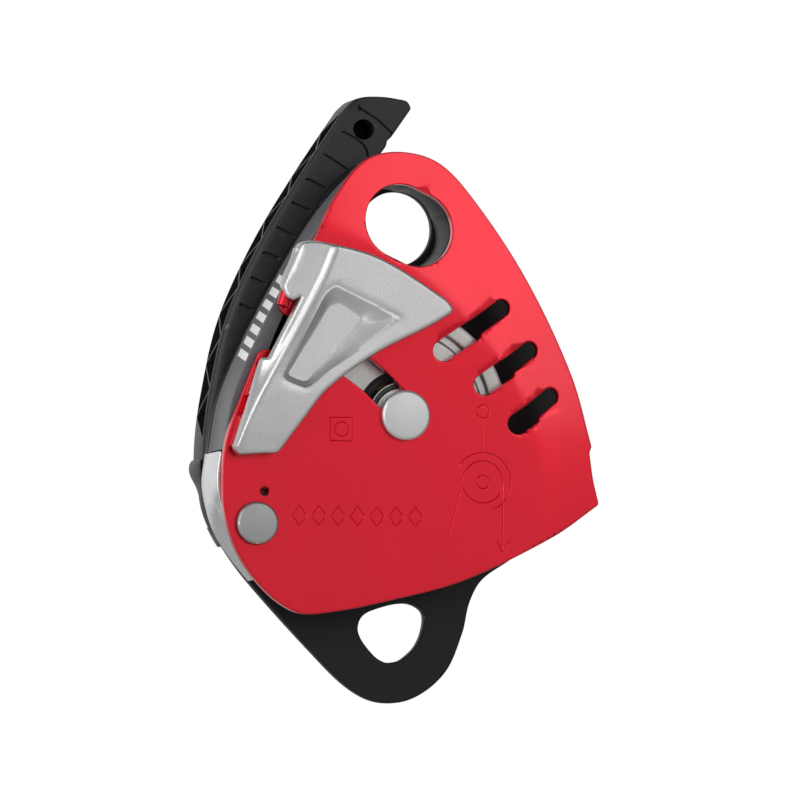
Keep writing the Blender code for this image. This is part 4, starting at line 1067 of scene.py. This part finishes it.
def gate():
    ridge = open_curve(GATE_RIDGE)
    rim_line = outline(POCKET_RIM, 0.8)
    floor_line = outline(POCKET_FLOOR, 0.8)
    pocket_y = GATE_FRONT + 4.4

    def front(x, z):
        off = side_of(x, z, ridge)
        roll = 0.8
        left = (np.sqrt(off**2 + roll**2) - off) / 2
        share = np.clip((z + 62.0) / 22.0, 0, 1)
        share = share * share * (3 - 2 * share)
        lobe = 1.1 * (1 - np.exp(-((left / 1.2) ** 2))) + 1.2 * (left / 9.5) ** 2
        lobe += 0.55 * np.clip(left - 10.2, 0, None) ** 2
        fall = 1.35 * left * (1 - share) + lobe * share
        fall += 0.30 * np.clip(off / 8.0, 0, 1) ** 1.2 + 0.022 * np.clip(off, 0, None)
        fall += 0.0022 * np.clip(-58.0 - z, 0, None) ** 2
        fall -= 0.40 * np.exp(-(((off - 0.3) / 0.8) ** 2))
        top = np.hypot(x - ridge[0][0], z - ridge[0][1] - 0.6)
        fall += 1.1 * np.exp(-(top / 2.0) ** 2)
        face = GATE_FRONT + np.minimum(fall, 6.0)
        spots = np.stack([x, z], 1)
        within = inside(spots, rim_line)
        on_floor = inside(spots, floor_line)
        to_rim = line_distance(x, z, rim_line, True)
        to_floor = line_distance(x, z, floor_line, True)
        down = np.where(on_floor, 1.0, to_rim / np.maximum(to_rim + to_floor, 1e-6))
        wedge = np.interp(x, [-20.4, -12.0, -7.4], [1.0, 0.12, 0.0])
        down = np.where(within, np.minimum(down, wedge), 0.0)
        down = np.where(down < 0.15, down * down / 0.3, down - 0.075) / 0.925
        soft = np.where(down > 0.85, 1 - (1 - down) ** 2 / 0.3, down + 0.075 * down / 0.85)
        soft = np.clip(soft, 0, 1)
        lip = 0.22 * np.exp(-(to_rim / 0.9) ** 2)
        return face + (pocket_y - face) * soft + lip * (soft < 0.02)

    creases = [ridge]
    for offset in (-2.4, -1.7, -1.1, -0.5, 0.5, 1.1, 1.7):
        creases.append(both_sides(ridge, abs(offset))[1 if offset > 0 else 2])
    for line, spread in ((rim_line, (0.0, 0.5, 1.0)), (floor_line, (0.0, 0.5))):
        for width in spread:
            lines = both_sides(line + line[:1], width)
            creases += lines[1:] if width else lines[:1]
    for level in (-32.4, -33.1, -33.8, -34.5, -35.2, -35.9, -36.6):
        creases.append(straight((-20.2, level), (-8.4, level), 0.7))
    loops = region([outline(GATE_OUTLINE)], [])
    flap = finish_mesh("cast_gate", relief(loops, front, flat(GATE_BACK), 1.4, 1.4, creases), CAST, 50)
    boolean(flap, hinge_box(-12, 0.2, -90, 0, -8, -0.1))
    for _, (low, high), _ in HINGES.values():
        boolean(flap, hinge_rod(HINGE_BARREL, low, high), "UNION")
    head_room = HEAD_RADIUS + 0.7
    radii = (SLOT_RADIUS - head_room, SLOT_RADIUS + head_room)
    boolean(flap, prism(sector(*radii, math.radians(42), SLOT_END + 0.2), GATE_ROOF, GATE_BACK + 5))
    lug = polar(PIVOT, SLOT_RADIUS, LUG_ANGLE)
    lug_profile = [(0, GATE_ROOF - 1.0), (3.6, GATE_ROOF - 1.0), (3.6, -13.8, 0.4), (0, -13.8)]
    boolean(flap, lathe(lug_profile, at(lug), 40), "UNION")
    for levels, _, pin_levels in HINGES.values():
        low, high = levels
        boolean(flap, hinge_rod(HINGE_BARREL + 0.4, low - 2 * GAP, high + 2 * GAP))
        boolean(flap, hinge_box(-6, BRACKET_FOOT + 1.4, low - GAP, high + GAP, -8, -0.5))
        boolean(flap, hinge_rod(HINGE_BORE, pin_levels[0] - 0.5, pin_levels[1] + 0.5))
    put(flap, "gate", "satin_aluminium", "gate")


# ---------------------------------------------------------------- the handle

def along_line(line, count):
    """Evenly spaced places on a line, with the direction along it."""
    a = np.array(line, float)
    lengths = np.concatenate([[0], np.cumsum(np.linalg.norm(a[1:] - a[:-1], axis=1))])
    made = []
    for i in range(count):
        at_length = lengths[-1] * i / (count - 1)
        spot = Vector((np.interp(at_length, lengths, a[:, 0]), np.interp(at_length, lengths, a[:, 1])))
        low = max(at_length - 1, 0)
        high = min(at_length + 1, lengths[-1])
        ahead = Vector((
            np.interp(high, lengths, a[:, 0]) - np.interp(low, lengths, a[:, 0]),
            np.interp(high, lengths, a[:, 1]) - np.interp(low, lengths, a[:, 1]),
        ))
        made.append((spot, ahead.normalized()))
    return made


def rib_pocket(start, end, up):
    """A three-sided pocket with round corners in the handle's outer side."""
    inset, depth = 1.1, 6.0
    near, far = HANDLE_FRONT + 3.0, HANDLE_BACK - 2.6
    if not up:
        near, far = far, near
    (a, along_a), (b, along_b) = start, end
    along = (along_a + along_b).normalized()
    outward = Vector((-along.y, along.x))
    length = (b - a).length
    corners = [(inset, near, 1.2), (length - inset, near, 1.2), (length / 2, far, 1.2)]
    shape = outline(corners, 40.0)
    bm = bmesh.new()
    rings = []
    for reach, shrink in ((4.0, 0.0), (-depth, 0.0)):
        ring = []
        for along_by, y in shape:
            spot = a + along * along_by + outward * reach
            ring.append(bm.verts.new(place(spot.x, y, spot.y)))
        rings.append(ring)
    bm.faces.new(rings[0])
    bm.faces.new(rings[1])
    for i in range(len(shape)):
        j = (i + 1) % len(shape)
        bm.faces.new((rings[0][i], rings[0][j], rings[1][j], rings[1][i]))
    return settle(bm)


def handle():
    edge = open_curve(HANDLE_EDGE)
    loops = region([outline(HANDLE_OUTLINE), outline(HANDLE_FOOT)], [circle(PIVOT, 6.6, 64)])
    slits = [straight(*slit) for slit in HANDLE_SLITS] + [open_curve(line) for line in HANDLE_GROOVES]
    creases = [edge_line for edge_line in both_sides(edge, 2.2)[1:]]
    for slit in slits:
        creases += both_sides(slit, 0.5)[1:] + both_sides(slit, 0.32)[1:]
    starts = np.array([p for slit in slits for p in slit[:-1]], float)
    ends = np.array([p for slit in slits for p in slit[1:]], float)

    def front(x, z):
        spots = np.stack([x, z], 1)
        bevel = 0.5 * np.clip(2.2 - line_distance(x, z, edge), 0, 2.2)
        bevel *= np.clip((z + 96.0) / 12.0, 0, 1)
        cut = 1.1 * np.clip((0.5 - distance(spots, starts, ends)) / 0.18, 0, 1)
        swell = 0.35 * np.clip((z + 60.0) / 40.0, 0, 1) * np.clip((30.0 - z) / 20.0, 0, 1)
        side = line_distance(x, z, edge)
        swell = swell * np.sin(np.clip(side / 19.0, 0, 1) * math.pi)
        return HANDLE_FRONT + 0.36 + bevel + cut - swell

    def back(x, z):
        low = np.clip((z + 98.0) / 10.0, 0, 1)
        side = line_distance(x, z, edge)
        crown = 1.6 * (1 - np.sin(np.clip(side / 19.0, 0, 1) * math.pi) ** 0.6)
        return 22.0 + (HANDLE_BACK - 22.0 - crown) * low * low * (3 - 2 * low)

    lever = finish_mesh("ribbed_handle", relief(loops, front, back, 0.9, 2.2, creases), NYLON)
    rib_line = open_curve(HANDLE_EDGE[1:7])
    steps = along_line(rib_line, 15)
    for i in range(len(steps) - 2):
        # The pocket walls and floors take the near-black nylon, painted shade.
        boolean(lever, rib_pocket(steps[i], steps[i + 2], i % 2 == 0), look=NYLON_PAINTED_SHADE)
    # The lanyard hole's walls take the near-black nylon, painted shade.
    hole = prism(outline(LANYARD_HOLE, 0.6), HANDLE_FRONT - 2.0, HANDLE_FRONT + 12.0)
    boolean(lever, hole, look=NYLON_PAINTED_SHADE)
    put(lever, "handle", "handle_nylon", "handle")


# ---------------------------------------------------------------- turned pieces

def thread(radius, start, end, pitch=1.0, depth=0.35):
    """The profile of a threaded end as a run of grooves."""
    made = []
    count = int(abs(end - start) / pitch)
    for i in range(count):
        y = start + (end - start) * i / count
        made += [(radius, y), (radius - depth, y + (end - start) / count * 0.5)]
    return made + [(radius, end)]


def axles():
    head = [
        (0, HEAD_FRONT), (HEAD_RADIUS - 1.2, HEAD_FRONT), (HEAD_RADIUS - 0.8, HEAD_FRONT + 0.08, 0.3),
        (HEAD_RADIUS, HEAD_FRONT + 0.8, 0.4), (HEAD_RADIUS, HEAD_BACK, 0.2), (5.0, HEAD_BACK),
        (5.0, -INNER), (10.0, -INNER, 0.3), (10.0, INNER), (6.0, INNER), (6.0, 17.4),
    ]
    head += thread(6.0, 17.4, 23.4) + [(5.2, 24.2), (0, 24.2)]
    made = finish_mesh("axle_and_head", lathe(head, at(AXLE), 128), HEAD)
    put(made, "frame", "satin_aluminium", "main_axle")
    radius = 7.6
    pin = [
        (0, HEAD_FRONT), (radius - 1.1, HEAD_FRONT), (radius - 0.7, HEAD_FRONT + 0.08, 0.3),
        (radius, HEAD_FRONT + 0.8, 0.4), (radius, HEAD_BACK, 0.2), (5.0, HEAD_BACK), (5.0, 22.4),
    ]
    pin += thread(5.0, 22.4, 26.4) + [(4.4, 27.1), (0, 27.1)]
    made = finish_mesh("pivot_and_head", lathe(pin, at(PIVOT), 112), PIVOT_HEAD)
    put(made, "frame", "satin_aluminium", "pivot_axle")


def nut(name, centre, across, bore, front, back, node):
    """A hexagon nut, its corners cut away by a cone on both faces."""
    def column(angle):
        off = (angle % (math.pi / 3)) - math.pi / 6
        corner = across / math.cos(off)
        start = across * 0.96
        fall = (corner - start) * 0.55
        return [
            (bore, front + 0.5), (bore + 0.5, front), (start, front), (corner, front + fall),
            (corner, back - fall), (start, back), (bore + 0.5, back), (bore, back - 0.5),
        ]
    made = finish_mesh(name, lathe(column, at(centre), 96, 0.0), DARK, 25)
    put(made, "frame", "dark_steel", node)


def back_fixings():
    nut("axle_hex_nut", AXLE, 9.0, 6.3, *layers("axle_nut"), "axle_nut")
    nut("pivot_hex_nut", PIVOT, 6.75, 5.3, *layers("pivot_nut"), "pivot_nut")
    front, back = layers("axle_washer")
    washer = [(6.3, front, 0.1), (11.5, front, 0.35), (11.5, back, 0.35), (6.3, back, 0.1)]
    made = finish_mesh("axle_flat_washer", lathe(washer, at(AXLE)), STEEL)
    put(made, "frame", "steel", "axle_washer")
    for number, centre in enumerate(FRAME_SCREWS, 1):
        node = f"frame_screw_{number}"
        start, face = layers(node)
        shape = [
            (0, start), (1.5, start, 0.3), (1.5, REAR_BACK - 2.1), (3.2, REAR_BACK - 0.4, 0.1),
            (3.2, face, 0.15), (1.9, face), (0, face),
        ]
        screw = finish_mesh(f"countersunk_screw_{number}", lathe(shape, at(centre), 64), DARK)
        boolean(screw, prism(circle(centre, 1.4, 6), REAR_BACK - 1.5, REAR_BACK + 1))
        put(screw, "frame", "dark_steel", node)


def sheave():
    groove = [
        (16.3, -9.2, 0.3), (30.4, -9.2, 0.3), (31.4, -8.2, 0.3), (33.6, -8.2, 0.3),
        (34.5, -9.5, 0.4), (39.4, -9.5, 0.5), (40.0, -8.7, 0.4), (40.0, -7.6, 0.3),
        (30.4, -4.2, 1.6), (28.0, -1.6, 1.2), (28.0, 1.6, 1.2), (30.4, 4.2, 1.6),
        (40.0, 7.6, 0.3), (40.0, 8.7, 0.4), (39.4, 9.5, 0.5), (25.3, 9.5, 0.3),
        (25.3, 2.6, 0.2), (16.3, 2.6, 0.2),
    ]
    made = finish_mesh("turned_sheave", lathe(groove, at(AXLE), 160), SHEAVE)
    put(made, "sheave", "satin_aluminium", "sheave")
    front, back = layers("bearing_seal")
    seal = [
        (12.6, front + 0.5), (12.9, front, 0.1), (13.4, front, 0.1), (13.7, front + 0.4, 0.2),
        (15.0, front + 0.4, 0.2), (15.4, front, 0.1), (16.0, front, 0.2), (16.0, back), (12.6, back),
    ]
    made = finish_mesh("lipped_seal", lathe(seal, at(AXLE), 112), RUBBER)
    put(made, "sheave", "seal_rubber", "bearing_seal")
    front, back = layers("axle_collar")
    collar = [(10.3, front, 0.1), (11.6, front, 0.1), (11.8, front + 0.3), (12.2, front + 0.3), (12.2, back), (10.3, back)]
    made = finish_mesh("turned_collar", lathe(collar, at(AXLE), 112), COLLAR_PAINTED_SHADE)
    put(made, "frame", "satin_aluminium", "axle_collar")
    # A thin light ring laid over the collar's lip: a painted highlight where its edge catches the light.
    rim = [(11.75, front - 0.02, 0.05), (12.2, front - 0.02, 0.05), (12.2, front + 0.25), (11.75, front + 0.25)]
    made = finish_mesh("collar_rim_painted_highlight", lathe(rim, at(AXLE), 112), SHEAVE)
    put(made, "frame", "satin_aluminium")


def eye_sleeve():
    front, back = layers("eye_bush")
    play = ((-5.0, 0.6), (0.9, -2.1))
    openings = [circle(EYE, EYE_RADIUS, 120), capsule(*play, EYE_RADIUS, 110)]
    loops = region([capsule(play[0], EYE, EYE_RADIUS + 3.0, 110)], openings)

    def face(x, z):
        return np.maximum(front, SIDE_BACK + lean(x, z) + 0.6)

    made = finish_mesh("eye_sleeve", relief(loops, face, flat(back), 0.5, 2.0), BLACK)
    put(made, "frame", "dark_steel", "eye_bush")


def hinges():
    for name, (levels, _, pin_levels) in HINGES.items():
        low, high = levels
        node = f"gate_bracket_{name}"
        knuckle = hinge_rod(HINGE_BARREL - 0.1, low, high, (0.3,))
        made = finish_mesh(f"hinge_knuckle_{name}", knuckle, RED)
        depth = (GATE_BACK - HINGE.y / MM)
        boolean(made, hinge_box(-1.0, BRACKET_FOOT, low + GAP, high - GAP, -depth, -0.9), "UNION")
        boolean(made, hinge_rod(HINGE_BORE, low - 3, high + 3))
        put(made, "side_plate", "red_anodised", node)
        pin = finish_mesh(f"hinge_pin_{name}", hinge_rod(HINGE_PIN, *pin_levels, (0.2,)), STEEL)
        put(pin, "side_plate", "steel", f"gate_pin_{name}")


CARRIED = {
    "detent_pin": BROWN, "bearing_inner_race": STEEL, "bearing_outer_race": STEEL,
    "bearing_cage": BRONZE, "ratchet_ring": DARK, "pawl_carrier": STEEL, "pawl_1": DARK,
    "pawl_2": DARK, "pawl_pin_1": STEEL, "pawl_pin_2": STEEL, "brake_arm": DARK,
    "brake_arm_bush": BRONZE, "brake_shoe": STEEL, "shoe_pin_1": STEEL, "shoe_pin_2": STEEL,
    "side_plate_bush": BRONZE, "handle_bush": BRONZE,
}


def carried_nodes():
    for name, look in CARRIED.items():
        for slot in NODES[name].material_slots:
            slot.material = look


# ---------------------------------------------------------------- stage

def area_light(name, position, target, size, power, colour=(1.0, 1.0, 1.0)):
    data = bpy.data.lights.new(name, "AREA")
    data.shape = "RECTANGLE"
    data.size, data.size_y = size
    data.energy = power
    data.color = colour
    light = bpy.data.objects.new(name, data)
    bpy.context.scene.collection.objects.link(light)
    light.location = position
    light.rotation_euler = (Vector(target) - Vector(position)).to_track_quat("-Z", "Y").to_euler()
    return light


BEHIND = (0.275, 0.959, 0.065)
FORWARD = (0.15, -0.973, 0.17)
LEFT_LIGHT = (-0.78, -0.55, 0.30)
RIGHT_LIGHT = (0.42, -0.86, 0.29)
# Direction, cosines between which it fades in, and strength of each part of the surroundings.
SURROUNDINGS = [
    (BEHIND, 0.15, 0.65, 0.85), (FORWARD, 0.50, 0.94, 0.70), ((-1.0, 0.1, 0.0), 0.5, 0.95, 0.5),
]


def world():
    """White behind the object and dimmer around it, as in a studio tent."""
    made = bpy.data.worlds.new("studio")
    made.use_nodes = True
    bpy.context.scene.world = made
    tree = Nodes(made.node_tree)
    background = made.node_tree.nodes["Background"]
    background.inputs["Color"].default_value = (1.0, 1.0, 1.0, 1.0)
    output = made.node_tree.nodes["World Output"]
    direction = tree.add("ShaderNodeTexCoord").outputs["Generated"]
    level = 0.10
    for towards, low, high, strength in SURROUNDINGS:
        turn = tree.add("ShaderNodeVectorMath", operation="DOT_PRODUCT")
        tree.link(direction, turn.inputs[0])
        turn.inputs[1].default_value = towards
        share = tree.ramp(turn.outputs["Value"], low, high, 0.0, strength)
        level = tree.math("ADD", share, level)
    tree.link(level, background.inputs["Strength"])
    seen = tree.add("ShaderNodeBackground")
    seen.inputs["Color"].default_value = (1.0, 1.0, 1.0, 1.0)
    seen.inputs["Strength"].default_value = 1.0
    switch = tree.add("ShaderNodeMixShader")
    tree.link(tree.add("ShaderNodeLightPath").outputs["Is Camera Ray"], switch.inputs[0])
    tree.link(background.outputs[0], switch.inputs[1])
    tree.link(seen.outputs[0], switch.inputs[2])
    tree.link(switch.outputs[0], output.inputs["Surface"])


def floor():
    bm = bmesh.new()
    bmesh.ops.create_grid(bm, x_segments=8, y_segments=8, size=4.0)
    mesh = bpy.data.meshes.new("floor")
    bm.to_mesh(mesh)
    bm.free()
    made = bpy.data.objects.new("floor", mesh)
    bpy.context.scene.collection.objects.link(made)
    made.location.z = CAD_BOX[0][2] - 0.25
    mesh.materials.append(surface("pale_floor", srgb(232, 232, 232), 0.7, 0.0, grain=40.0, mottle=0.01))


CAMERA_YAW = math.radians(16.0)
CAMERA_PITCH = math.radians(3.7)
FRAME_WIDTH = 0.288
CAMERA_AWAY = 3.0


def camera():
    right = Vector((math.cos(CAMERA_YAW), -math.sin(CAMERA_YAW), 0))
    towards = Vector((
        -math.sin(CAMERA_YAW) * math.cos(CAMERA_PITCH), -math.cos(CAMERA_YAW) * math.cos(CAMERA_PITCH),
        -math.sin(CAMERA_PITCH),
    ))
    up = towards.cross(right)
    target = place(0, SIDE_FRONT, 0) - right * 5.76 * MM - up * 63.72 * MM
    data = bpy.data.cameras.new("camera")
    data.lens = 36.0 * CAMERA_AWAY / FRAME_WIDTH
    data.sensor_width = 36.0
    data.clip_end = 30.0
    made = bpy.data.objects.new("camera", data)
    bpy.context.scene.collection.objects.link(made)
    made.matrix_world = Matrix.Translation(target + towards * CAMERA_AWAY) @ Matrix(
        (right, up, towards)
    ).transposed().to_4x4()
    bpy.context.scene.camera = made
    return target


def lights(target):
    area_light("left_softbox", target + 1.4 * Vector(LEFT_LIGHT), target, (0.8, 1.2), 9.0)
    area_light("right_softbox", target + 1.5 * Vector(RIGHT_LIGHT), target, (0.38, 0.54), 1.55)


def main():
    red_plate()
    black_plate()
    housing()
    channel()
    gate()
    handle()
    axles()
    back_fixings()
    sheave()
    eye_sleeve()
    hinges()
    carried_nodes()
    world()
    floor()
    lights(camera())
    bpy.context.scene.view_settings.view_transform = "Standard"


main()

bpy.context.view_layer.update()
